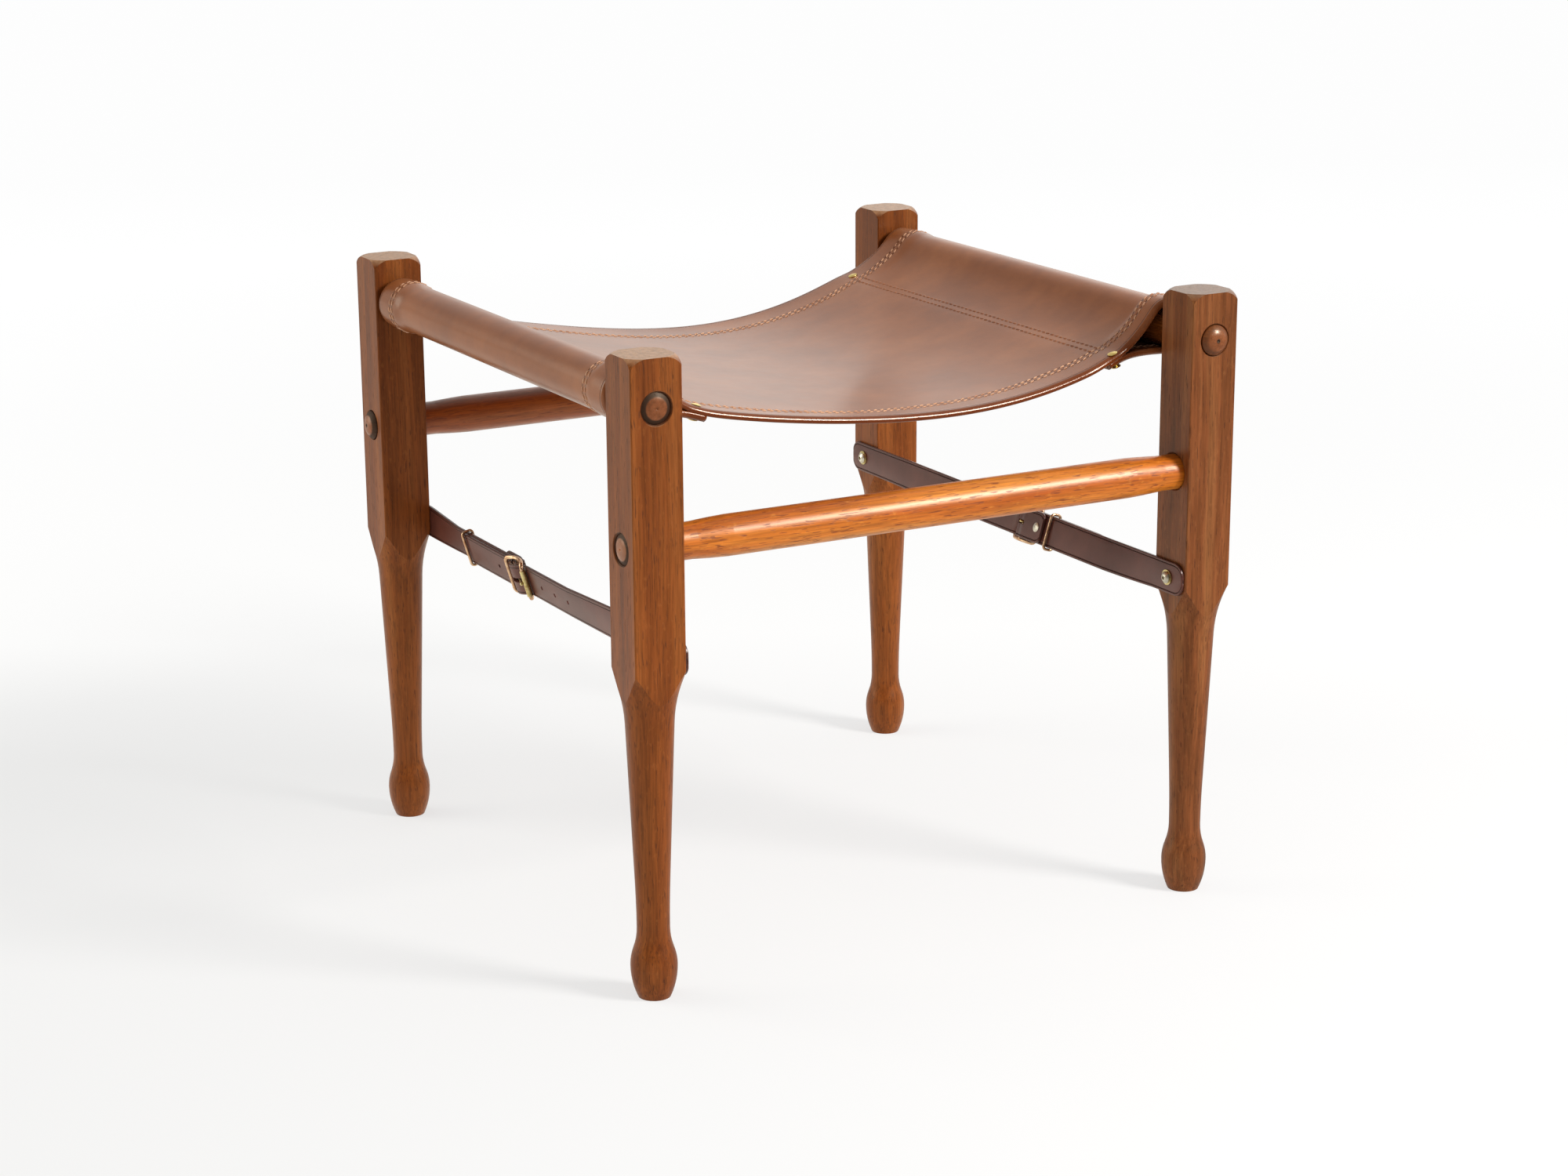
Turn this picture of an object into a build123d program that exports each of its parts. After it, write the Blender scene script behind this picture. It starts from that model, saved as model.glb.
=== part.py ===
from build123d import *
import math
import os

# Safari stool: four turned legs, two side rails that carry a leather sling,
# two cross stretchers, and two buckled straps that hold the legs against spreading.
# Millimetres, +Z up, origin on the floor under the middle of the stool.
# The front of the stool is -Y, its left side is -X.

# Frame
height = 450.0
leg_width = 38.0
leg_spacing = 440.0
arris_radius = 1.2
overrun = 10.0

# Turned foot and leg
foot_flat_radius = 11.4
bulb_radius = 16.4
bulb_height = 23.0
ankle_radius = 11.5
ankle_height = 50.5
bulb_share = 0.45
taper_foot_radius = 12.05
taper_foot_height = 80.0
taper_radius = 16.9
taper_height = 198.0
square_height = 237.0
square_cut_spare = 0.4
crown_arc_radius = 12.0
crown_rise = 10.7

# Mortises and tapered tenons
rail_drop = 33.5
stretcher_height = 320.0
mouth_radius = 12.8
tenon_half_angle = 3.0
tenon_clearance = 0.08
mouth_chamfer = 1.2
tip_proud = 4.5
tip_dome = 4.2
flush_proud = 0.5
flush_dome = 2.2
dimple_radius = 1.1
dimple_depth = 0.7
dome_arc_shares = (0.64, 0.70)

# Rails and stretchers, turned alike
round_radius = 14.3
round_end_length = 40.0
round_neck_length = 14.0
round_arc_shares = (0.55, 0.45)

# Leather sling
leather = 2.3
sling_gap = 3.0
sleeve_clearance = 0.3
sleeve_rise = 0.8
hem_ease = 0.7
hem_width = 22.0
seam_spread = 171.0
seam_drop = 11.3
seam_slope = 18.0
flap_lap = 12.6
sag_front = 18.9
sag_back = 25.6
hump_radius = 19.0
hump_inset = 2.5
hump_rise = 3.5

# Seat rivets
seat_rivet_radius = 3.6
seat_rivet_head = 1.1
seat_rivet_shank = 1.3
seat_rivet_lap_share = 0.36
seat_rivet_edge_front = 7.5
seat_rivet_edge_back = 16.0
seat_rivet_slack = 0.3

# Straps
strap_width = 24.0
strap_leather = 2.5
strap_height = 242.0
strap_end_spare = 1.5
strap_end_radius = 9.0
strap_lean = 17.0
strap_bow = 1.8
strap_sag = 2.0
layer_gap = 0.4
billet_flat_length = 70.0
tail_length = 121.0
tail_point = 9.0
turnback_length = 46.0
twist_start_spare = 9.0
twist_steps = 4
hole_radius = 1.6
billet_holes = (-66.9, -44.6, -22.3, 29.3, 51.6)

# Buckle
buckle_offset = 10.0
bar_radius = 1.5
bar_pitch = 14.0
bar_crown = 4.5
frame_half_height = 14.0
frame_bend = 3.0
bar_gap = 0.3
roller_radius = 2.25
roller_length = 20.5
roller_drop = 0.5
roller_clearance = 0.08
prong_radius = 1.2
prong_clearance = 0.1
prong_rise = 20.4
prong_length = 14.6
prong_slot_width = 3.4
prong_slot_lead = 8.6
fold_slot_length = 12.0
descent_shift = 1.4
turnback_ease = 9.0

# Keeper
keeper_wire_radius = 1.1
keeper_side_gap = 0.6
keeper_face_gap = 0.4
keeper_bend = 2.6
keeper_butt_gap = 0.4
keeper_left = 109.0
keeper_right = 53.0

# Strap rivet
strap_rivet_place = 39.0
strap_rivet_radius = 3.65
strap_rivet_head = 1.2
strap_rivet_shank = 1.4
rivet_clearance = 0.1

# Strap screws
screw_head_radius = 4.4
screw_head_height = 3.0
screw_shank_radius = 2.0
screw_length = 22.0
screw_socket_radius = 1.6
screw_socket_depth = 1.6
washer_radius = 5.65
washer_thick = 1.0
screw_clearance = 0.1

half_spacing = leg_spacing / 2
half_leg = leg_width / 2
rail_height = height - rail_drop
seam_height = rail_height - seam_drop
inner_face = half_spacing - half_leg
tenon_taper = math.tan(math.radians(tenon_half_angle))
strap_plane_x = inner_face - strap_leather / 2


def write(shape, name):
    shape.label = name
    export_step(shape, f"parts/{name}.step")


def between(start, end, shares):
    """Point that lies a share of the way from start to end along each axis."""
    return tuple(a + (b - a) * share for a, b, share in zip(start, end, shares))


def rounded_disc(radius, rise):
    """Domed disc, flat at z = 0 and crowned to its rise."""
    edge = (rise / 3, radius)
    face = make_face([
        Line((0, 0), (0, radius)),
        Line((0, radius), edge),
        TangentArc((rise, 0), edge, tangent=(0, 1)),
        Line((rise, 0), (0, 0)),
    ])
    return revolve(face, Axis.X).rotate(Axis.Y, -90)


# Legs
def leg_blank():
    """Square post whose foot, taper, shoulders and crown are turned on one axis."""
    foot = (foot_flat_radius, 0)
    bulb = (bulb_radius, bulb_height)
    neck = (ankle_radius, ankle_height)
    waist = between(bulb, neck, (bulb_share, bulb_share))
    taper_foot = (taper_foot_radius, taper_foot_height)
    taper_top = (taper_radius, taper_height)
    corner = half_leg * math.sqrt(2) + square_cut_spare
    crown_angle = math.degrees(math.asin(crown_rise / crown_arc_radius))
    crown_centre = (corner - crown_arc_radius, height - crown_rise)
    taper = Line(taper_foot, taper_top)
    shoulder = TangentArc(taper_top, (corner, square_height), tangent=taper % 1)
    crown = CenterArc(crown_centre, crown_arc_radius, 0, crown_angle)
    outline = make_face([
        Line((0, 0), foot),
        TangentArc(bulb, foot, tangent=(0, -1)),
        TangentArc(bulb, waist, tangent=(0, 1)),
        TangentArc(neck, waist, tangent=(0, -1)),
        TangentArc(neck, taper_foot, tangent=(0, 1)),
        taper,
        shoulder,
        Line(shoulder @ 1, crown @ 0),
        crown,
        Line(crown @ 1, (0, height)),
        Line((0, height), (0, 0)),
    ])
    post = extrude(RectangleRounded(leg_width, leg_width, arris_radius), amount=height)
    return post & revolve(Plane.XZ * outline, Axis.Z)


def mortise():
    """Tapered bore along +X, its wide mouth at the origin, with both mouths eased."""
    near = mouth_radius + tenon_clearance
    far = near - leg_width * tenon_taper
    easing = mouth_chamfer
    outline = make_face(Polyline(
        (-overrun, 0),
        (-overrun, near + easing),
        (0, near + easing),
        (easing, near - easing * tenon_taper),
        (leg_width - easing, far + easing * tenon_taper),
        (leg_width, far + easing),
        (leg_width + overrun, far + easing),
        (leg_width + overrun, 0),
        close=True,
    ))
    return revolve(outline, Axis.X)


def leg(side_x, side_y):
    """One leg in place; side_x and side_y are -1 or 1."""
    bore = mortise()
    along_x = bore if side_x > 0 else bore.rotate(Axis.Z, 180)
    along_y = bore.rotate(Axis.Z, 90 * side_y)
    pilot = Cylinder(screw_shank_radius + screw_clearance, screw_length + overrun)
    pilot = pilot.rotate(Axis.Y, 90)
    pilot_x = side_x * (inner_face + screw_length / 2 - overrun / 2)
    body = Pos(side_x * half_spacing, side_y * half_spacing, 0) * leg_blank()
    body -= Pos(side_x * inner_face, side_y * half_spacing, stretcher_height) * along_x
    body -= Pos(side_x * half_spacing, side_y * inner_face, rail_height) * along_y
    body -= Pos(pilot_x, side_y * half_spacing, strap_height) * pilot
    return body


# Rails and stretchers
def tip_edges(start, proud, dome, sign):
    """Outline of one tenon from its mouth to its dimpled, domed end."""
    shoulder = leg_width + proud - dome
    radius = start[1] - shoulder * tenon_taper
    dome_start = (start[0] + sign * shoulder, radius)
    dome_end = (start[0] + sign * (leg_width + proud), dimple_radius)
    arc = ThreePointArc(dome_start, between(dome_start, dome_end, dome_arc_shares[:1]
                                            + (1 - dome_arc_shares[1],)), dome_end)
    bottom = (dome_end[0] - sign * dimple_depth, 0)
    return [Line(start, dome_start), arc, Line(dome_end, bottom)], bottom


def stick(near_tip, far_tip):
    """Round bar along X with a tapered tenon at each end; tips are (proud, dome)."""
    edges = []
    ends = []
    for sign, (proud, dome) in ((-1, near_tip), (1, far_tip)):
        mouth = (sign * inner_face, mouth_radius)
        tip, bottom = tip_edges(mouth, proud, dome, sign)
        ends.append(bottom)
        edges += tip
        body_end = (sign * (inner_face - round_end_length), round_radius)
        neck = (sign * (inner_face - round_neck_length), mouth_radius)
        bend = between(body_end, neck, round_arc_shares)
        edges.append(Line(mouth, neck))
        edges.append(ThreePointArc(neck, bend, body_end))
    length = inner_face - round_end_length
    edges.append(Line((-length, round_radius), (length, round_radius)))
    edges.append(Line(ends[0], ends[1]))
    return revolve(make_face(edges), Axis.X)


def stretcher(side_y, near_tip, far_tip):
    return Pos(0, side_y * half_spacing, stretcher_height) * stick(near_tip, far_tip)


def rail(side_x, near_tip, far_tip):
    bar = stick(near_tip, far_tip).rotate(Axis.Z, 90)
    return Pos(side_x * half_spacing, 0, rail_height) * bar


# Sling
def seam_corner(share, depth):
    """Point of the sewn lap: a share of its length inwards and a depth under its top."""
    slope = math.radians(seam_slope)
    back = flap_lap * share
    return (
        seam_spread - back * math.cos(slope) + depth * math.sin(slope),
        seam_height - back * math.sin(slope) - depth * math.cos(slope),
    )


def mirrored(point):
    return -point[0], point[1]


def panel_strip(sag, layers):
    """Sagging strip of the seat between the two sewn laps, in the XZ plane."""
    depth = layers * leather
    top = seam_corner(1, 0)
    under = seam_corner(1, depth)
    return make_face([
        ThreePointArc(mirrored(top), (0, top[1] - sag), top),
        Line(top, under),
        ThreePointArc(under, (0, top[1] - sag - depth), mirrored(under)),
        Line(mirrored(under), mirrored(top)),
    ])


def seam_block(layers):
    """Where the returned flap lies under the seat and is sewn to it."""
    depth = 2 * layers * leather
    return make_face(Polyline(
        seam_corner(0, 0), seam_corner(1, 0), seam_corner(1, depth), seam_corner(0, depth),
        close=True,
    ))


def sleeve_rings(layers, thick, humped):
    """Rings that shape a sleeve, the given thickness of leather outside its bore."""
    ring = Circle(round_radius + sleeve_clearance + sleeve_rise - (layers - 1) * hem_ease + thick)
    edges = (Pos(half_spacing, rail_height + sleeve_rise) * ring).edges()
    if humped:
        hump = Circle(hump_radius - layers * leather + thick)
        edges += (Pos(half_spacing - hump_inset, rail_height + hump_rise) * hump).edges()
    return edges


def sleeve(layers, length, humped):
    """Leather laid over the rail and back to the seam, where its bore narrows."""
    thick = layers * leather
    seam = Line(seam_corner(0, 0), seam_corner(0, 2 * thick))
    outside = make_hull(sleeve_rings(layers, thick, humped) + seam.edges())
    meeting = seam_corner(-1 / 2, thick)
    toe = Line(meeting, (meeting[0] + leather, meeting[1]))
    bore = make_hull(sleeve_rings(layers, 0, humped) + toe.edges())
    return extrude(Plane.XZ * (outside + seam_block(layers) - bore), amount=length)


def hem(sag, y_front, humped):
    """Turned edge of the sling, two leathers thick, on both sleeves and the seat."""
    strip = extrude(Plane.XZ.offset(-y_front) * panel_strip(sag, 2), amount=-hem_width)
    loop = Pos(0, y_front + hem_width, 0) * sleeve(2, hem_width, humped)
    return strip + loop + mirror(loop, about=Plane.YZ)


def seat_rivet_place(side_x, side_y):
    """Place on a sewn lap, square to its slope."""
    x, z = seam_corner(seat_rivet_lap_share, 0)
    edge = seat_rivet_edge_front if side_y < 0 else seat_rivet_edge_back
    y = inner_face - sling_gap - edge
    return Pos(side_x * x, side_y * y, z) * Rot(0, -side_x * seam_slope, 0)


def sling():
    half_length = inner_face - sling_gap
    middle = half_length - hem_width
    front = Plane.XZ.offset(middle) * panel_strip(sag_front, 1)
    back = Plane.XZ.offset(-middle) * panel_strip(sag_back, 1)
    panel = loft([front, back], ruled=True)
    loop = Pos(0, middle, 0) * sleeve(1, 2 * middle, False)
    body = panel + loop + mirror(loop, about=Plane.YZ)
    body += hem(sag_front, -half_length, True)
    body += hem(sag_back, half_length - hem_width, False)
    hole = Cylinder(seat_rivet_shank + rivet_clearance, 2 * overrun)
    for side_x in (-1, 1):
        for side_y in (-1, 1):
            body -= seat_rivet_place(side_x, side_y) * hole
    return body


def seat_rivet():
    """Domed head above the seat, shank through four leathers, domed burr below."""
    stack = 4 * leather + 2 * seat_rivet_slack
    head = rounded_disc(seat_rivet_radius, seat_rivet_head)
    shank = Cylinder(seat_rivet_shank, stack, align=(Align.CENTER, Align.CENTER, Align.MAX))
    burr = head.rotate(Axis.X, 180)
    return Pos(0, 0, seat_rivet_slack) * (head + shank + Pos(0, 0, -stack) * burr)


def seat_rivets():
    solids = []
    for side_x in (-1, 1):
        for side_y in (-1, 1):
            solids.append(seat_rivet_place(side_x, side_y) * seat_rivet())
    return Compound(children=solids)


# Straps and buckle, drawn in the strap's own frame: X runs along the strap from the
# roller bar towards the tail, Y points outwards from the stool and Z is up its width.
half_strap = strap_leather / 2
layer_pitch = strap_leather + layer_gap
over_bar = bar_radius + bar_gap + half_strap
tail_layer = bar_crown - bar_radius - bar_gap - half_strap
main_layer = tail_layer - layer_pitch
turnback_layer = main_layer - layer_pitch
billet_at_roller = bar_crown - roller_radius - bar_gap - half_strap
billet_over_bar = over_bar + layer_pitch


def wave(start, end):
    """Two arcs that leave start and reach end along X."""
    middle = ((start[0] + end[0]) / 2, (start[1] + end[1]) / 2)
    direction = (1, 0) if end[0] > start[0] else (-1, 0)
    first = TangentArc(start, middle, tangent=direction)
    second = TangentArc(middle, end, tangent=first % 1)
    return [first, second]


def band(edges):
    """Leather strip of the strap's width that follows a path in its own XY plane."""
    return extrude(trace(edges, line_width=strap_leather), amount=strap_width / 2, both=True)


def cut_hole(body, place, layer, radius):
    drill = Cylinder(radius, 2 * strap_leather).rotate(Axis.X, 90)
    return body - Pos(place, layer, 0) * drill


def billet_flat():
    """Billet from its twisted stretch under the roller, over the bar and under the end bar."""
    roller_place = (0, billet_at_roller)
    peak = (bar_pitch + descent_shift, billet_over_bar)
    under = (2 * bar_pitch, tail_layer)
    path = [Line((-billet_flat_length, billet_at_roller), roller_place)]
    path += wave(roller_place, peak)
    path += wave(peak, under)
    path.append(Line(under, (tail_length, tail_layer)))
    body = band(path)
    for place in billet_holes:
        layer = billet_at_roller if place < 0 else tail_layer
        body = cut_hole(body, place, layer, hole_radius)
    slot = Box(prong_slot_lead + bar_pitch / 4, 4 * billet_over_bar, prong_slot_width)
    body -= Pos(bar_pitch - prong_slot_lead / 2 + bar_pitch / 8, billet_over_bar, 0) * slot
    for side in (-1, 1):
        corner = Polyline(
            (tail_length - tail_point, side * strap_width / 2),
            (tail_length + overrun, side * strap_width / 2),
            (tail_length + overrun, side * strap_width / 6),
            (tail_length, side * strap_width / 6),
            close=True,
        )
        clip = extrude(Plane.XZ * make_face(corner), amount=overrun, both=True)
        body -= clip
    return body


def buckle_strap_flat():
    """Strap that comes back round the middle bar and is riveted to itself."""
    top = (bar_pitch, over_bar)
    bottom = (bar_pitch, -over_bar)
    settled = (2 * bar_pitch - descent_shift, main_layer)
    lap_start = (bar_pitch + turnback_ease, turnback_layer)
    far = tail_length + twist_start_spare
    main = wave(top, settled) + [Line(settled, (far, main_layer))]
    fold = [ThreePointArc(top, (bar_pitch - over_bar, 0), bottom)]
    lap = wave(bottom, lap_start)
    lap.append(Line(lap_start, (turnback_length, turnback_layer)))
    body = band(main) + band(fold) + band(lap)
    slot = Box(fold_slot_length, 4 * over_bar, prong_slot_width)
    body -= Pos(bar_pitch - over_bar - half_strap + fold_slot_length / 2, 0, 0) * slot
    for layer in (main_layer, turnback_layer):
        body = cut_hole(body, strap_rivet_place, layer, strap_rivet_shank + rivet_clearance)
    return body


def lean_place():
    """Frame of the left strap set, leaning outwards at the top."""
    lean = math.radians(strap_lean)
    plane = Plane(
        origin=(-strap_plane_x - strap_bow, buckle_offset, strap_height - strap_sag),
        x_dir=(0, 1, 0),
        z_dir=(-math.sin(lean), 0, math.cos(lean)),
    )
    return plane.location


def twist(y_lean, layer, y_leg):
    """Stretch of strap that turns from its lean at the buckle to upright at a leg."""
    sections = []
    for step in range(twist_steps + 1):
        share = step / twist_steps
        rest = 1 - share
        lean = math.radians(strap_lean * rest)
        out = layer * rest
        origin = (
            -strap_plane_x - strap_bow * rest - out * math.cos(lean),
            y_lean + (y_leg - y_lean) * share,
            strap_height - strap_sag * rest - out * math.sin(lean),
        )
        plane = Plane(origin=origin, x_dir=(-math.sin(lean), 0, math.cos(lean)), z_dir=(0, 1, 0))
        sections.append(plane * Rectangle(strap_width, strap_leather))
    return loft(sections, ruled=True)


def strap_end(side_y):
    """Flat end on the inner face of a leg, its outer corners rounded."""
    length = leg_width - strap_end_spare
    blank = Rectangle(length, strap_width)
    far_corners = blank.vertices().filter_by(lambda v: v.X * side_y > 0)
    blank = fillet(far_corners, strap_end_radius)
    plane = Plane(
        origin=(-strap_plane_x, side_y * (inner_face + length / 2), strap_height),
        x_dir=(0, 1, 0),
        z_dir=(1, 0, 0),
    )
    plate = extrude(plane * blank, amount=half_strap, both=True)
    hole = Cylinder(screw_shank_radius + 2 * screw_clearance, 2 * strap_leather)
    hole = hole.rotate(Axis.Y, 90)
    return plate - Pos(-strap_plane_x, side_y * half_spacing, strap_height) * hole


def billet_strap():
    start = buckle_offset - billet_flat_length
    body = lean_place() * billet_flat()
    body += twist(start, billet_at_roller, -inner_face)
    return body + strap_end(-1)


def buckle_strap():
    start = buckle_offset + tail_length + twist_start_spare
    body = lean_place() * buckle_strap_flat()
    body += twist(start, main_layer, inner_face)
    return body + strap_end(1)


def rod(edges, radius):
    """Round wire along a smooth path."""
    path = Wire(edges)
    section = Plane(origin=path @ 0, z_dir=path % 0) * Circle(radius)
    return sweep(section, path=path)


def buckle_frame():
    """Wire frame with crowned sides, straight end bars and a middle bar."""
    slope = 2 * math.atan(bar_crown / (bar_pitch + frame_bend))
    run = frame_bend * math.cos(slope)
    drop = frame_bend * math.sin(slope)
    straight = frame_half_height - frame_bend
    half_turn = math.sqrt(0.5)
    span = 2 * bar_pitch

    def corner(x_bar, sign, height_share, side_share):
        return (
            x_bar + sign * run * side_share,
            bar_crown - drop * side_share,
            straight + frame_bend * height_share,
        )

    roller_end = (0, bar_crown, straight)
    far_end = (span, bar_crown, straight)
    side_start = corner(0, 1, 1, 1)
    side_end = corner(span, -1, 1, 1)
    half = rod([
        Line((0, bar_crown, 0), roller_end),
        ThreePointArc(roller_end, corner(0, 1, half_turn, 1 - half_turn), side_start),
        ThreePointArc(side_start, (bar_pitch, 0, frame_half_height), side_end),
        ThreePointArc(side_end, corner(span, -1, half_turn, 1 - half_turn), far_end),
        Line(far_end, (span, bar_crown, 0)),
    ], bar_radius)
    middle = Pos(bar_pitch, 0, 0) * Cylinder(bar_radius, 2 * frame_half_height)
    return half + mirror(half, about=Plane.XY) + middle


def buckle_roller():
    tube = Cylinder(roller_radius, roller_length)
    tube -= Cylinder(bar_radius + roller_clearance, roller_length + overrun)
    return Pos(0, bar_crown, -roller_drop) * tube


def buckle_prong():
    """Ring about the middle bar and a straight tongue that rests on the roller."""
    ring_radius = bar_radius + prong_clearance + prong_radius
    rise = math.radians(prong_rise)
    foot = (bar_pitch + ring_radius * math.sin(rise), ring_radius * math.cos(rise), 0)
    tip = (foot[0] - prong_length * math.cos(rise), foot[1] + prong_length * math.sin(rise), 0)
    ring = Pos(bar_pitch, 0, 0) * Torus(ring_radius, prong_radius)
    tongue = rod([Line(foot, tip)], prong_radius)
    return ring + tongue + Pos(*tip) * Sphere(prong_radius)


def strap_keeper(place):
    """Sliding wire loop round the strap and the tail, its ends butted on the inside."""
    middle = (tail_layer + main_layer) / 2
    depth = (tail_layer - main_layer) / 2 + half_strap + keeper_face_gap + keeper_wire_radius
    reach = strap_width / 2 + keeper_side_gap + keeper_wire_radius
    inner = middle - depth
    outer = middle + depth
    butt = keeper_butt_gap / 2
    bend = keeper_bend
    path = FilletPolyline(
        (place, inner, butt),
        (place, inner, reach),
        (place, outer, reach),
        (place, outer, -reach),
        (place, inner, -reach),
        (place, inner, -butt),
        radius=bend,
    )
    return rod(path.edges(), keeper_wire_radius)


def strap_rivet():
    """Rivet that closes the fold: head inside, shank flush in the strap under the tail."""
    head_face = turnback_layer - half_strap
    length = main_layer + half_strap - head_face
    head = rounded_disc(strap_rivet_radius, strap_rivet_head).rotate(Axis.X, 90)
    shank = Cylinder(strap_rivet_shank, length, align=(Align.CENTER, Align.CENTER, Align.MIN))
    body = head + shank.rotate(Axis.X, -90)
    return Pos(strap_rivet_place, head_face, 0) * body


def strap_screw():
    """Button-head screw along +X, seated at x = 0, with a hexagon socket."""
    head = rounded_disc(screw_head_radius, screw_head_height)
    socket = extrude(RegularPolygon(screw_socket_radius, 6), amount=-screw_socket_depth)
    head -= Pos(0, 0, screw_head_height) * socket
    shank = Cylinder(screw_shank_radius, screw_length + washer_thick,
                     align=(Align.CENTER, Align.CENTER, Align.MAX))
    return (head + shank).rotate(Axis.Y, 90)


def strap_washer():
    ring = Cylinder(washer_radius, washer_thick, align=(Align.CENTER, Align.CENTER, Align.MIN))
    ring -= Cylinder(screw_shank_radius + screw_clearance, 2 * overrun)
    return ring.rotate(Axis.Y, 90)


def to_side(shape, side):
    """The right set is the left set turned half round the stool's upright axis."""
    return shape if side == "left" else shape.rotate(Axis.Z, 180)


os.makedirs("parts", exist_ok=True)

proud_tip = (tip_proud, tip_dome)
flush_tip = (flush_proud, flush_dome)
for name_y, side_y in (("front", -1), ("back", 1)):
    for name_x, side_x in (("left", -1), ("right", 1)):
        write(leg(side_x, side_y), f"leg_{name_y}_{name_x}")
        inner = inner_face - strap_leather
        seat = Pos(side_x * inner, side_y * half_spacing, strap_height)
        turn = 0 if side_x < 0 else 180
        washer = strap_washer().rotate(Axis.Z, turn)
        screw = (Pos(washer_thick, 0, 0) * strap_screw()).rotate(Axis.Z, turn)
        write(seat * washer, f"strap_washer_{name_y}_{name_x}")
        write(seat * screw, f"strap_screw_{name_y}_{name_x}")

write(stretcher(-1, flush_tip, proud_tip), "stretcher_front")
write(stretcher(1, proud_tip, proud_tip), "stretcher_back")
write(rail(-1, flush_tip, proud_tip), "rail_left")
write(rail(1, proud_tip, proud_tip), "rail_right")
write(sling(), "seat_sling")
write(seat_rivets(), "seat_rivets")

for side, keeper_place in (("left", keeper_left), ("right", keeper_right)):
    write(to_side(billet_strap(), side), f"billet_strap_{side}")
    write(to_side(buckle_strap(), side), f"buckle_strap_{side}")
    local = {
        "buckle_frame": buckle_frame(),
        "buckle_roller": buckle_roller(),
        "buckle_prong": buckle_prong(),
        "strap_keeper": strap_keeper(keeper_place),
        "strap_rivet": strap_rivet(),
    }
    for name, shape in local.items():
        write(to_side(lean_place() * shape, side), f"{name}_{side}")
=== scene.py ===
import math

import bpy
import numpy as np
from mathutils import Matrix, Vector


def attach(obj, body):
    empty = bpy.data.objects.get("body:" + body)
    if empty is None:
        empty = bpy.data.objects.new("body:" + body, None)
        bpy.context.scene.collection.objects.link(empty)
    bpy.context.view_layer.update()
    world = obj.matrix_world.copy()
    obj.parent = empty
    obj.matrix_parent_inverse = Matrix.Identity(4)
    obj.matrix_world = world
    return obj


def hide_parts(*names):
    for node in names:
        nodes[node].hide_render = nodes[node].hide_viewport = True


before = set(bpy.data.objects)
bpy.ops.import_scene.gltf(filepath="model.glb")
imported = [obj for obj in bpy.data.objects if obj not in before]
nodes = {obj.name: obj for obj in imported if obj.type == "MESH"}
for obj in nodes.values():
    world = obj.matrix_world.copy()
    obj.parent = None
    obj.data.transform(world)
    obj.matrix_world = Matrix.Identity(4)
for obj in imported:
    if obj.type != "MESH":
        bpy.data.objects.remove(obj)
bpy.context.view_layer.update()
print("frame loaded:", len(nodes), "nodes")

mm = 0.001


# Node helpers
def tone(red, green, blue):  # an sRGB colour of 0 to 255 as the linear one a shader takes
    share = np.array([red, green, blue]) / 255
    linear = np.where(share <= 0.04045, share / 12.92, ((share + 0.055) / 1.055) ** 2.4)
    return (*linear.tolist(), 1.0)


def newMaterial(name):
    material = bpy.data.materials.new(name)
    material.use_nodes = True
    tree = material.node_tree
    tree.nodes.clear()
    return material, tree


def feed(tree, socket, value):  # links another node's output, or sets a plain value
    if isinstance(value, bpy.types.NodeSocket):
        tree.links.new(value, socket)
    elif value is not None:
        socket.default_value = value


def add(tree, kind, sockets=None, **settings):
    node = tree.nodes.new("ShaderNode" + kind)
    for name, value in settings.items():
        setattr(node, name, value)
    for name, value in (sockets or {}).items():
        feed(tree, node.inputs[name], value)
    return node


def ramp(tree, factor, stops):  # stops are (place, value or colour)
    node = add(tree, "ValToRGB", {"Fac": factor})
    band = node.color_ramp
    while len(band.elements) < len(stops):
        band.elements.new(0.5)
    for element, (place, value) in zip(band.elements, stops):
        element.position = place
        element.color = value if isinstance(value, tuple) else (value, value, value, 1)
    return node.outputs["Color"]


def blendColour(tree, factor, first, second, kind="MIX"):
    return add(tree, "Mix", {0: factor, 6: first, 7: second},
               data_type="RGBA", blend_type=kind).outputs[2]


def shaded(tree, share, colour, factor, stops):  # a ramp of the factor darkens or lightens
    return blendColour(tree, share, colour, ramp(tree, factor, stops), "MULTIPLY")


def maths(tree, kind, first, second=None, clamp=False):
    return add(tree, "Math", {0: first, 1: second}, operation=kind, use_clamp=clamp).outputs[0]


def plus(tree, base, value, factor):  # base + value times factor
    return maths(tree, "ADD", maths(tree, "MULTIPLY", value, factor), base)


def dotWith(tree, where, way):
    return add(tree, "VectorMath", {0: where, 1: way}, operation="DOT_PRODUCT").outputs["Value"]


def attribute(tree, name):
    return add(tree, "Attribute", attribute_name=name).outputs["Fac"]


def objectPlace(tree):
    return add(tree, "TexCoord").outputs["Object"]


def mapped(tree, size, source=None):  # size is a pattern's scale, or one for each axis
    return add(tree, "Mapping", {
        "Vector": source or objectPlace(tree),
        "Scale": size if isinstance(size, tuple) else (size,) * 3}).outputs["Vector"]


def noise(tree, size, detail, rough, source=None):
    return add(tree, "TexNoise", {
        "Vector": mapped(tree, size, source), "Scale": 1.0, "Detail": detail, "Roughness": rough,
    }).outputs["Fac"]


def bumps(tree, height, strength, distance, normal=None):
    return add(tree, "Bump", {"Height": height, "Strength": strength, "Distance": distance,
                              "Normal": normal}).outputs["Normal"]


shaderSockets = {
    "colour": "Base Color", "rough": "Roughness", "metal": "Metallic", "coat": "Coat Weight",
    "coatRough": "Coat Roughness", "normal": "Normal", "specular": "Specular IOR Level",
    "veil": "Specular Tint", "sheen": "Sheen Weight",
}


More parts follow.
